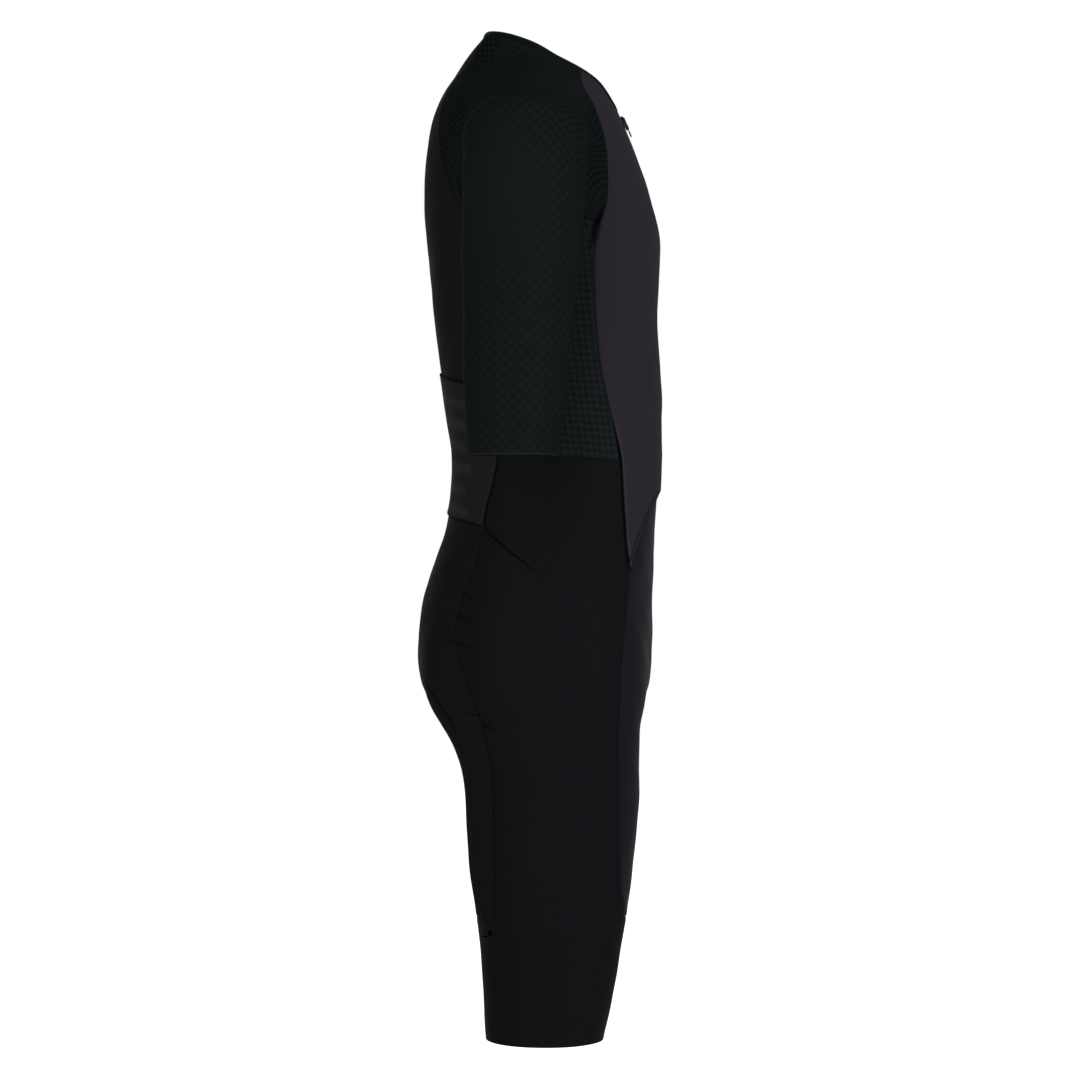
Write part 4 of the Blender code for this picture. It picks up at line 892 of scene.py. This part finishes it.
def wholeWidth(half):
    return np.concatenate([half[:, :0:-1] * flip, half], axis=1)[:, ::-1]


def bothSides(*paths):
    return list(paths) + [p * flip for p in paths]


back = withEdges(wholeWidth(halfBack))
settle(cloth("jersey_back_cloth", back.reshape(-1, 3), [gridCells(back)], materials["jerseyBack"],
             sewn=bothSides(fineBackSide)), "jersey_back")

backPocket = {"flat": (0.30, 0.16), "area": 0.041, "topRow": 14, "centreDrop": 0.08, "sideDrop": 0.75,
              "rows": 8, "stripeGap": 0.022, "firstStripe": 0.0085, "halfStripe": 0.0056,
              "stripeEdge": 0.0016, "lastStripe": 0.128, "sideEnd": 0.066, "uneven": 0.004}
columns = np.arange(halfBack.shape[1])
drop = np.linspace(backPocket["centreDrop"], backPocket["sideDrop"], len(columns))
at = (backPocket["topRow"] + drop) * fine
low = at.astype(int)
share = (at - low)[:, None]
pocketTop = halfBack[low, columns] * (1 - share) + halfBack[low + 1, columns] * share
below = np.linspace(0, 1, backPocket["rows"] * fine + 1)
pocketHalf = press(pocketTop * (1 - below[:, None, None]) + halfBack[-1] * below[:, None, None], 6)
side = np.concatenate([pocketTop[-1:], fineBackSide[-(3 * fine):]])
pocketHalf[:, -1] = press(placesAt(below, lengthAlong(side) / lengthAlong(side)[-1], side), 2)
pocket = withEdges(wholeWidth(pocketHalf))
points = pocket.reshape(-1, 3)
index, uv = gridCells(pocket)
down = lengthAlong(pocket[:, pocket.shape[1] // 2])
fromBottom = np.broadcast_to((down[-1] - down)[:, None], index.shape).ravel()
gap, fromFirst = backPocket["stripeGap"], fromBottom - backPocket["firstStripe"]
off = np.abs((fromFirst + gap / 2) % gap - gap / 2)  # plain even stripes
stripe = np.clip((backPocket["halfStripe"] - off) / backPocket["stripeEdge"], 0, 1)
stripe *= np.clip((backPocket["lastStripe"] - fromBottom) / 0.004, 0, 1)
sideEnd = backPocket["sideEnd"] + backPocket["uneven"] * np.sin(2.3 * np.round(fromFirst / gap))
stripe *= np.clip((points[:, 1] - sideEnd) / 0.005, 0, 1)
settle(cloth("back_pocket_cloth", points, [(index, uv)], materials["pocket"], out=layers["pocket"],
             sewn=bothSides(pocketHalf[:, -1], pocketHalf[-1]), free=bothSides(pocketTop),
             values={"stripe": stripe}), "back_pocket")
print("back and pocket made")

sidePanel = {"flat": (0.14, 0.24), "area": 0.031}
coarse = panel(underarm, waist, frontSeam[:waistRow + 1], backSeam[:waistRow + 1])
fineSides = (fineFrontSeam[:waistRow * fine + 1], fineBackSeam[:waistRow * fine + 1])
grid = withEdges(finerPanel(coarse, fineUnderarm, fineWaist, *fineSides))
pair("side_panel_cloth", "side_panel", "side_knit", sidePanel, grid.reshape(-1, 3), [gridCells(grid)],
     materials["sideKnit"], sewn=[fineUnderarm, fineWaist, *fineSides])

sleeve = {"flat": (0.42, 0.44), "area": 0.145, "liftOver": 0.010,
          # where the knit fades: how much, height and its reach, depth and its reach, how squarely
          "faint": (0.85, -0.150, 0.065, 0.042, 0.050, 2), "plain": (0.9, -0.030, 0.030, -0.030, 0.042, 4),
          "turnFrom": -0.120, "turnOver": 0.090, "besideFrom": 0.42, "besideOver": 0.26, "diamonds": 0.62}
ridge = shoulderRows[:, [0, 2, 1]]
ridge[1:-1] = press(ridge[1:-1])
ridge[0] = neckPath(100.0, 101.0, 1)[0]
ridgeLength = lengthAlong(ridge)
rowAt = steps(0.0, (ridgeLength[7], counts["raglan"]), (ridgeLength[10], counts["underarm"]))
sleeveTop = press(smoothTable(np.column_stack([ridgeLength, ridge]), rowAt))
half = counts["underarm"]
armhole = underarm[:half + 1], underarm[::-1][:half + 1]
sleeveFront, sleeveBack = join(frontRaglan, armhole[0]), join(backRaglan, armhole[1])
openRows = len(sleeveFront) - 1
rows = [neckPath(neckFront, neckBack, counts["sleeve"])]
for i in range(1, openRows + 1):
    lift = sleeve["liftOver"] * min(1, i / counts["raglan"]) * (i < openRows)
    rows.append(arcRow(sleeveFront[i], sleeveTop[i], sleeveBack[i], counts["sleeve"], lift))
upper = np.array(rows)
rows = [upper[-1]]
for s in np.linspace(0, 1, counts["arm"] + 1)[1:]:
    outerZ, innerZ = (z * (1 - s) + levels["cuff"] * s for z in (sleeveTop[-1][2], underarm[half][2]))
    rows.append(armRow(outerZ, innerZ, counts["sleeve"]))
lower = finer(np.array(rows))

fineUpper = finerGrid(upper)
fineUpper[0] = finerPath(upper[0])
fineUpper[:, 0] = join(fineFrontRaglan, fineUnderarm[:half * fine + 1])
fineUpper[:, -1] = join(fineBackRaglan, fineUnderarm[::-1][:half * fine + 1])
around = np.concatenate([lower[:, -3:-1], lower, lower[:, 1:3]], axis=1)  # past the ends
fineLower = finer(around.swapaxes(0, 1)).swapaxes(0, 1)[:, 2 * fine:-2 * fine].copy()
fineLower[:, -1] = fineLower[:, 0]
sleeveGrid = np.concatenate([fineUpper, fineLower[1:]])
closed = len(fineUpper) - 1
for _ in range(6):
    ringed = np.concatenate([sleeveGrid[:, -2:-1], sleeveGrid, sleeveGrid[:, 1:2]], axis=1)
    ringed[:closed + 1, [0, -1]] = sleeveGrid[:closed + 1, [0, -1]]
    mean = neighbourMean(ringed)
    mean[:closed, [0, -1]] = sleeveGrid[1:closed + 1, [0, -1]]
    sleeveGrid[1:-1] = press(mean, 2)
    sleeveGrid[:closed + 1, [0, -1]] = fineUpper[:, [0, -1]]
    sleeveGrid[closed:, -1] = sleeveGrid[closed:, 0]
grid = withEdges(sleeveGrid)
merged = np.array([i > closed + 1 or np.allclose(row[0], row[-1], atol=1e-7)
                   for i, row in enumerate(grid)])
index, uv = gridCells(grid)
index[merged, -1] = index[merged, 0]
points = grid.reshape(-1, 3)


def softStep(value):
    share = np.clip(value, 0, 1)
    return share * share * (3 - 2 * share)


shown = 1.0
for amount, height, heightReach, deep, deepReach, power in (sleeve["faint"], sleeve["plain"]):
    away = ((points[:, 2] - height) / heightReach)**power + ((points[:, 1] - deep) / deepReach)**power
    shown = shown * (1 - amount * np.exp(-away))
turned = softStep((sleeve["turnFrom"] - points[:, 2]) / sleeve["turnOver"])
share = np.abs(uv[..., 0]) / np.abs(uv[..., 0]).max(axis=1, keepdims=True)
beside = softStep((share.ravel() - sleeve["besideFrom"]) / sleeve["besideOver"]) * (1 - turned)
pair("sleeve_cloth", "sleeve", "sleeve_knit", sleeve, points, [(index, uv)], materials["sleeve"],
     sewn=[fineUpper[:, 0], fineUpper[:, -1]], free=[sleeveGrid[-1]],
     values={"squares": shown * beside,  # square cells beside the raglan seams
             "diamonds": sleeve["diamonds"] * shown * (1 - beside) * (1 - 0.3 * turned)})
print("sides and sleeves made")

shortsSide = {"flat": (0.33, 0.60), "area": 0.117}
low, underFrom = levels["lowY"], levels["underFrom"]
frontUnder, backUnder = underPath(-1, underFrom, 4), underPath(1, underFrom, 3)
backUnder[-1] = frontUnder[-1]
innerZ = np.linspace(frontUnder[-1][2], levels["band"], counts["inner"] + 1)[1:]
innerLeg = np.concatenate([frontUnder[-1:], castOut(columnsOf(0.092, low, innerZ), (-1.0, 0.0, 0.0))])
bands = [crossPath(start, end, counts[count]) for start, end, count in (
    (frontSeam[-1], backSeam[-1], "side"), (innerLeg[-1], frontSeam[-1], "half"),
    (innerLeg[-1], backSeam[-1], "half"))]
for path in bands:
    path[:, 2] = levels["band"]
bandOuter, bandFront, bandBack = bands
fineBands = [finerPath(path) for path in bands]
coarse = panel(waist, bandOuter, frontSeam[waistRow:], backSeam[waistRow:])
outerLeg = withEdges(finerPanel(coarse, fineWaist, fineBands[0], legFront, legBack))
ring = join(fineBands[0], fineBands[2][::-1], fineBands[1])
rays = ring - np.array([levels["legX"], low, 0])
rays[:, 2] = 0
rays = unit(rays)
bandShares = np.concatenate([[0.002, 0.006], np.linspace(0, 1, counts["band"] * fine + 1)[1:-1],
                             [0.965, 0.988, 1]])
bandRows = [ring]
for share in bandShares:
    z = levels["band"] + (levels["hem"] - levels["band"]) * share
    bandRows.append(castOut(columnsOf(levels["legX"], low, z + 0 * rays[:, 0]), rays, reach=0.12))
bandGrid = np.array(bandRows)
legIndex, legUv = gridCells(outerLeg)
bandIndex, bandUv = gridCells(bandGrid, first=legIndex.size)
bandIndex[:, -1] = bandIndex[:, 0]
bandUv += (0, legUv[-1, 0, 1])
bandUv[..., 0] -= bandUv[:, (counts["side"] * fine) // 2, 0][:, None]
points = np.concatenate([outerLeg.reshape(-1, 3), bandGrid.reshape(-1, 3)])
for j, p in enumerate(outerLeg[-1]):  # the leg's last row is the band's first
    away = np.linalg.norm(ring[:-1] - p, axis=1)
    if away.min() < 1e-6:
        legIndex[-1, j] = bandIndex[0, away.argmin()]
pair("shorts_side_cloth", "shorts_side", "shorts", shortsSide, points,
     [(legIndex, legUv), (bandIndex, bandUv)], materials["shorts"],
     sewn=[fineWaist, legFront, legBack, *fineBands[1:]], free=[bandGrid[-1]])

shortsFront = {"flat": (0.19, 0.46), "area": 0.052}
seat = {"flat": (0.20, 0.42), "area": 0.052}
topAngle = math.degrees(math.atan2(frontSeam[waistRow][0], -0.005 - frontSeam[waistRow][1]))
shortsTop = castRound(np.linspace(0, 1, counts["half"] + 1) * topAngle,
                      np.linspace(levels["shortsTop"], levels["waistFront"], counts["half"] + 1))
shortsTop[0, 0] = 0
shortsTop[-1] = frontSeam[waistRow]


def centreParts(side, top, under, seamPlaces):  # down to the inner leg, and the fine seam
    rows = seamPlaces - len(under) - counts["inner"]
    upper = centrePath(side, np.linspace(top, underFrom, rows + 1))
    seam = join(finerPath(upper), finerPath(under))
    return join(upper, under, innerLeg), seam, join(seam, fineInnerLeg)


fineInnerLeg = finerPath(innerLeg)
seamPlaces = len(frontSeam[waistRow:])
centre, centreFrontSeam, fineCentre = centreParts(-1, levels["shortsTop"], frontUnder, seamPlaces)
coarse = panel(shortsTop, bandFront, centre, frontSeam[waistRow:])
grid = withEdges(finerPanel(coarse, finerPath(shortsTop), fineBands[1], fineCentre, legFront))
pair("shorts_front_cloth", "shorts_front", "shorts", shortsFront, grid.reshape(-1, 3), [gridCells(grid)],
     materials["shortsFront"], sewn=[fineCentre, legFront, fineBands[1]])

seamPlaces = len(backSeam[backHemRow:])
centre, centreBackSeam, fineCentre = centreParts(1, levels["backHem"], backUnder, seamPlaces)
coarse = panel(backHem, bandBack, centre, backSeam[backHemRow:])
grid = withEdges(finerPanel(coarse, fineBackHem, fineBands[2], fineCentre, seatSide))[:, ::-1]
pair("seat_cloth", "seat", "seat", seat, grid.reshape(-1, 3), [gridCells(grid)], materials["seat"],
     sewn=[fineBackHem, fineCentre, seatSide, fineBands[2]])
print("shorts made")

neckBinding = {"flat": (0.010, 0.42), "area": 0.0038, "height": 0.0046, "bulge": 0.0013, "down": 0.0012}
halfNeck = join(*(finerPath(path) for path in (frontTop, neckPath(neckFront, neckBack, counts["sleeve"]),
                                               neckPath(neckBack, 180.0, counts["half"]))))
out = normals(halfNeck)
up = unit(np.cross(out, np.gradient(halfNeck, axis=0)))
up *= np.sign(up[:, 2:])
up[-1, 0] = 0
neckLine, neckOut, neckUp = (np.concatenate([v[:-1], v[::-1] * flip]) for v in (halfNeck, out, up))
profile = []  # (up, out) round the folded edge
for turn in np.linspace(0, 2 * math.pi, 15)[:-1]:
    c, s = math.cos(turn), math.sin(turn)
    profile.append((neckBinding["height"] / 2 - neckBinding["down"]
                    + math.copysign(abs(c) ** 0.7, c) * (neckBinding["height"] / 2 + 0.0002),
                    math.copysign(abs(s) ** 0.6, s) * neckBinding["bulge"] - 0.0002))


def tubeFaces(n, m):  # n rings of m places, with both ends closed
    sides = [(i * m + k, i * m + (k + 1) % m, (i + 1) * m + (k + 1) % m, (i + 1) * m + k)
             for i in range(n - 1) for k in range(m)]
    return sides + [tuple(range(m))[::-1], tuple(range((n - 1) * m, n * m))]


places = []
for i, p in enumerate(neckLine):
    size = 0.7 if i in (0, len(neckLine) - 1) else 1
    places += [p + neckUp[i] * a + neckOut[i] * b * size for a, b in profile]
faces = tubeFaces(len(neckLine), len(profile))
length, girth = lengthAlong(neckLine), lengthAlong(np.array(profile))
bindingUv = [(length[v // len(profile)], girth[v % len(profile)]) for face in faces for v in face]
settle(addMesh("neck_binding_fold", places, faces, materials["binding"], 60, bindingUv, outwards=True),
       "neck_binding")
print("binding made")


# The zip: tape, teeth, slider and pull
zipLine = finer(castOut(columnsOf(0.0, 0.0, zipZ), (0.0, -1.0, 0.0)))
zipOut = normals(zipLine)
zipOut[:, 0] = 0
zipOver = overShorts(zipLine)
across = np.linspace(-1, 1, 7)
zipGrid = zipLine[:, None] + np.array([1, 0, 0]) * (across * (zipHalf + 0.0006))[None, :, None]
zipGrid = press(zipGrid, 3)
tape = cloth("zip_tape", zipGrid.reshape(-1, 3), [gridCells(zipGrid)], materials["zipTape"],
             out=np.repeat(zipOver, 7) - 0.0007, thick=0.0006)
settle(tape, "zip_chain")


def plainMaterial(name, look):
    material, tree, shader = newMaterial(name)
    look = {"drift": 0.1, "grain": 0.15, "metallic": 0.0, **look}
    grain = applyTone(tree, shader, (*look["color"], 1), look, 0.15)
    shader.inputs["Metallic"].default_value = look["metallic"]
    shader.inputs["Specular IOR Level"].default_value = look["specular"]
    applyRelief(tree, shader, grain, 0.00004)
    return material


plainLooks = {
    "zipTeeth": {"color": (0.0065, 0.0065, 0.0070), "roughness": 0.42, "specular": 0.35},
    "zipSatinMetal": {"color": (0.0080, 0.0080, 0.0085), "roughness": 0.38, "metallic": 0.45,
                      "specular": 0.5},
    "sewingThread": {"color": (0.0044, 0.0047, 0.0052), "roughness": 0.6, "specular": 0.1},
    # near-black thread, which also paints the dark shade of the fold mark at the tack and the turned edge
    "barTackThread": {"color": (0.0003, 0.0003, 0.0003), "roughness": 0.9, "specular": 0.0}}
materials.update({key: plainMaterial(key, look) for key, look in plainLooks.items()})
zipLength = lengthAlong(zipLine)


def zipPlace(s, x, h):  # x across, s down the zip, h out from the form
    base = placesAt(s, zipLength, zipLine)
    base[..., 0] += x
    return base + placesAt(s, zipLength, zipOut) * (h + np.interp(s, zipLength, zipOver))[..., None]


zipTeeth = {"pitch": 0.00125, "reach": 0.0023, "width": 0.00078, "height": 0.0009, "from": 0.0030}
toothVerts, toothFaces = [], []
count = int((zipLength[-1] - 0.004) / zipTeeth["pitch"] * 2)
for k in range(count):
    s = zipTeeth["from"] + k * zipTeeth["pitch"] / 2
    side = 1 if k % 2 else -1
    base = len(toothVerts)
    for share, size in ((-0.22, 0.55), (0.10, 1.0), (0.75, 1.0), (1.0, 0.6)):
        x = side * share * zipTeeth["reach"]
        w = zipTeeth["width"] * size / 2
        rise = zipTeeth["height"] * size
        toothVerts += zipPlace(s + w * np.array([-1, -0.6, 0.6, 1]), x,
                               np.array([-0.0001, rise, rise, -0.0001])).tolist()
    for a in base + np.array([0, 1, 2, 4, 5, 6, 8, 9, 10]):
        toothFaces.append((a, a + 1, a + 5, a + 4))
    toothFaces += [(base, base + 1, base + 2, base + 3), (base + 12, base + 13, base + 14, base + 15)]


def plainPiece(name, vertices, faces, look, slot, body="suit", outwards=True):
    piece = addMesh(name, vertices, faces, materials[look], 40, outwards=outwards)
    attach(piece, body)
    return piece


plainPiece("zip_teeth", toothVerts, toothFaces, "zipTeeth", "zip_chain", outwards=False)

slider = {"topZ": -0.0575, "width": 0.0086, "taper": 0.24, "corner": 0.0009}
base, lowEnd = placesAt(-np.array([slider["topZ"], slider["topZ"] - 0.022]), -zipLine[:, 2], zipLine)
down = unit(lowEnd - base)
outDir = np.array([0.0, down[2], -down[1]])
base = base + outDir * (layers["zip"] + 0.0003)


def sliderPlace(x, s, h):
    return base + np.array([1.0, 0, 0]) * x + down * s + outDir * h


def plate(name, outline, low, high, bevel, body="suit"):  # an outline (x, s) with thickness
    centre = np.mean(outline, axis=0)
    vertices = []
    for h, inset in ((low, -bevel), (low + bevel, 0), (high - bevel, 0), (high, -bevel)):
        for p in outline:
            q = np.array(p) - centre
            q = centre + q * (1 + inset / max(1e-6, np.linalg.norm(q)))
            vertices.append(sliderPlace(q[0], q[1], h))
    return plainPiece(name, vertices, tubeFaces(4, len(outline)), "zipSatinMetal", "zip_metal", body)


def roundedOutline(*rows):  # half widths (x, s) from top to bottom, corners rounded
    right = [np.array(p) for p in rows]
    points = right + [p * (-1, 1) for p in reversed(right)]
    out = []
    for i, p in enumerate(points):
        a, b = points[i - 1] - p, points[(i + 1) % len(points)] - p
        r = min(slider["corner"], np.linalg.norm(a) * 0.4, np.linalg.norm(b) * 0.4)
        start, end = p + unit(a) * r, p + unit(b) * r
        for t in np.linspace(0, 1, 4):
            out.append(tuple(start * (1 - t)**2 + 2 * p * t * (1 - t) + end * t * t))
    return out


half, end = slider["width"] / 2, slider["width"] / 2 * (1 - slider["taper"])
body = roundedOutline((half * 0.72, 0.0), (half, 0.0022), (half * 0.97, 0.0060), (end, 0.0120))
plate("zip_slider_lower", body, 0.0, 0.0007, 0.0002)
upper = plate("zip_slider_upper", [(x * 0.98, s) for x, s in body], 0.0010, 0.0021, 0.0003)
plate("zip_slider_post", roundedOutline((0.0012, 0.0006), (0.0012, 0.0030)), 0.0005, 0.0012, 0.0001)
for side, word in ((1, "left"), (-1, "right")):
    for name, corners, low, high, bevel in (
            ("ear", ((0.0017, 0.0096), (0.0029, 0.0096), (0.0029, 0.0146), (0.0017, 0.0146)),
             0.0004, 0.0034, 0.0003),
            ("rail", ((half * 0.80, 0.0030), (half * 0.96, 0.0030), (end * 0.98, 0.0116),
                      (end * 0.80, 0.0116)), 0.0006, 0.0012, 0.0001)):
        plate(f"zip_slider_{name}_{word}", [(x * side, s) for x, s in corners], low, high, bevel)
plate("zip_slider_bridge", roundedOutline((0.0013, 0.0016), (0.0013, 0.0096)), 0.0018, 0.0034, 0.0005)
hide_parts("zip_slider")

pullTab = {"thick": 0.00104, "ribs": 3, "ribGap": 0.0011, "pin": 0.00045, "pinHalf": 0.0028}
hinge = [j for j in frame["joints"] if j["name"] == "pull_tab_hinge"][0]
pinDown, pinOut = (np.array(hinge["pos_m"]) - base) @ down, (np.array(hinge["pos_m"]) - base) @ outDir
outline = roundedOutline((0.00125, -0.0008), (0.00125, 0.0022), (0.00205, 0.0030), (0.0026, 0.0040),
                         (0.0026, 0.0082), (0.0019, 0.0092))
tab = plate("zip_pull_tab", [(x, s + pinDown) for x, s in outline], pinOut - pullTab["thick"] / 2,
            pinOut + pullTab["thick"] / 2, 0.0002, "pull_tab")
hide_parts("zip_pull")
for k in range(pullTab["ribs"]):
    s = pinDown + 0.0050 + k * pullTab["ribGap"]
    rib = [(-0.0017, s), (0.0017, s), (0.0017, s + 0.0005), (-0.0017, s + 0.0005)]
    plate(f"zip_pull_rib_{k + 1}", rib, pinOut + 0.0003, pinOut + 0.00072, 0.0001, "pull_tab")
pin = [sliderPlace(x, pinDown + pullTab["pin"] * math.cos(a), pinOut + pullTab["pin"] * math.sin(a))
       for x in (-pullTab["pinHalf"], pullTab["pinHalf"]) for a in np.linspace(0, 2 * math.pi, 13)[:-1]]
plainPiece("zip_slider_pin", pin, tubeFaces(2, 12), "zipSatinMetal", "zip_metal")
print("zip made")


# Sewing: rows of small stitches along the seams, on the cloth
seamStitch = {"length": 0.0021, "pitch": 0.0028, "width": 0.00038, "height": 0.00018, "from": 0.002,
              "onSeam": True}
tackStitch = {"length": 0.0010, "pitch": 0.00125, "width": 0.00110, "height": 0.00050, "from": 0.0,
              "onSeam": False}
twin = (-0.0016, 0.0016)
seamRows = (  # path, how far each row lies from the seam (+ is behind or below), and which layer
    (fineFrontRaglan, twin, None), (fineBackRaglan, twin, None), (fineUnderarm, twin, None),
    (fineFrontSeam[:hemRow * fine + 1], twin, None), (fineFrontSeam[hemRow * fine:], twin, None),
    (fineBackSeam, twin, None), (fineWaist, (0.0022, 0.0052), None), (fineBands[1], twin, None),
    (fineBands[2], twin, None), (fineFrontHem, (-0.0045, -0.0062), "front"),
    (fineZipEdge, (-0.0030,), "front"), (centreFrontSeam, (-0.0016,), None),
    (centreBackSeam, (0.0016,), None), (fineInnerLeg, twin, None))
tackRows = (  # the bar tack at the foot of the seat seam, and the short turned edge beside it; drawn near-black, they are thread and also painted shade of the fold mark there
    (castSide(np.full(7, 0.0478), np.linspace(-0.8540, -0.8595, 7), levels["legInside"]),
     (-0.0020, -0.0010, 0.0, 0.0010, 0.0020), None),
    (castSide(np.linspace(0.0495, 0.0560, 7), np.linspace(-0.8590, -0.8612, 7), levels["legInside"]),
     (0.0,), None))


def stitches(side, rows, stitch):
    vertices, faces, flip = [], [], np.array([side, 1, 1])
    for path, offsets, layer in rows:
        length = lengthAlong(path)
        at = np.arange(stitch["from"], length[-1] - stitch["pitch"], stitch["pitch"])
        for offset in offsets:
            ends = [placesAt(at + shift, length, path) for shift in (0.0, stitch["length"])]
            normal = normals((ends[0] + ends[1]) / 2)
            across = np.cross(unit(ends[1] - ends[0]), normal)
            a, b = (press(e + across * offset, 2) for e in ends)
            lift = overShorts((a + b) / 2) if layer == "front" else 0.0
            lift = lift + relief((a + b) / 2 * flip) + 0.00008 + stitch["onSeam"] * seamLift(abs(offset))
            a, b = a + normal * lift[:, None], b + normal * lift[:, None]
            w, rise = across * stitch["width"] / 2, normal * stitch["height"]
            middleA, middleB = a * 0.8 + b * 0.2 + rise, a * 0.2 + b * 0.8 + rise
            for six in zip(a - w, a + w, b + w, b - w, middleA, middleB):
                k = len(vertices)
                vertices += [v * flip for v in six]
                faces += [(k, k + 4, k + 1), (k + 1, k + 4, k + 5, k + 2), (k + 2, k + 5, k + 3),
                          (k + 3, k + 5, k + 4, k)]
    return vertices, faces


for side, word in ((1, "left"), (-1, "right")):
    for name, rows, stitch, look in (("seam_stitches", seamRows, seamStitch, "sewingThread"),
                                     ("bar_tack", tackRows, tackStitch, "barTackThread")):
        plainPiece(f"{name}_{word}", *stitches(side, rows, stitch), look, "shorts", outwards=False)
print("sewing made")


# Camera, light and floor
def addLight(name, place, aim, size, energy):
    data = bpy.data.lights.new(name, "AREA")
    data.shape, data.size, data.size_y, data.energy = "RECTANGLE", *size, energy
    light = bpy.data.objects.new(name, data)
    light.location = place
    light.rotation_euler = (Vector(aim) - Vector(place)).to_track_quat("-Z", "Y").to_euler()
    bpy.context.scene.collection.objects.link(light)


studio = {"cameraHeight": -0.480, "distance": 3.0, "lens": 100.0, "floor": -1.45, "floorRadius": 9.0,
          "light": 0.30, "seen": 1.0}
cameraData = bpy.data.cameras.new("camera")
cameraData.lens, cameraData.sensor_width = studio["lens"], 36.0
camera = bpy.data.objects.new("camera", cameraData)
camera.location = (-studio["distance"], 0, studio["cameraHeight"])
camera.rotation_euler = (math.pi / 2, 0, -math.pi / 2)
bpy.context.scene.collection.objects.link(camera)
bpy.context.scene.camera = camera
bpy.context.scene.view_settings.view_transform = "Standard"  # plain white stays white
addLight("frontSoftbox", (-1.6, -2.4, 0.3), (0, 0, -0.5), (1.6, 2.4), 46)
addLight("topSoftbox", (-0.8, 0.1, 2.2), (0, 0, -0.3), (2.0, 2.0), 6)
addLight("sideSoftbox", (-2.8, 1.0, 0.0), (0, 0, -0.5), (1.4, 2.2), 40)
addLight("farSoftbox", (2.6, 0.9, 0.2), (0, 0, -0.5), (1.4, 2.2), 10)

world = bpy.data.worlds.new("paleStudio")
bpy.context.scene.world = world
world.use_nodes = True
tree = world.node_tree
background = tree.nodes["Background"]
seen = tree.nodes.new("ShaderNodeLightPath").outputs["Is Camera Ray"]
feed(tree, background.inputs["Strength"], remap(tree, seen, 0.0, 1.0, studio["light"], studio["seen"]))
background.inputs["Color"].default_value = (1, 1, 1, 1)

ringAngles = np.linspace(0, 2 * math.pi, 97)[:-1]
floorMesh = bpy.data.meshes.new("floor")
floorMesh.from_pydata([(studio["floorRadius"] * math.cos(a), studio["floorRadius"] * math.sin(a),
                        studio["floor"]) for a in ringAngles], [], [range(len(ringAngles))])
floor = bpy.data.objects.new("floor", floorMesh)
bpy.context.scene.collection.objects.link(floor)
floorMaterial, tree, floorShader = newMaterial("paleFloor")
floorShader.inputs["Base Color"].default_value = (0.85, 0.85, 0.85, 1)
floorShader.inputs["Roughness"].default_value = 0.9
floorShader.inputs["Emission Color"].default_value = (1, 1, 1, 1)
seen = tree.nodes.new("ShaderNodeLightPath").outputs["Is Camera Ray"]
feed(tree, floorShader.inputs["Emission Strength"], remap(tree, seen, 0.0, 1.0, 0.05, studio["seen"]))
floorMesh.materials.append(floorMaterial)
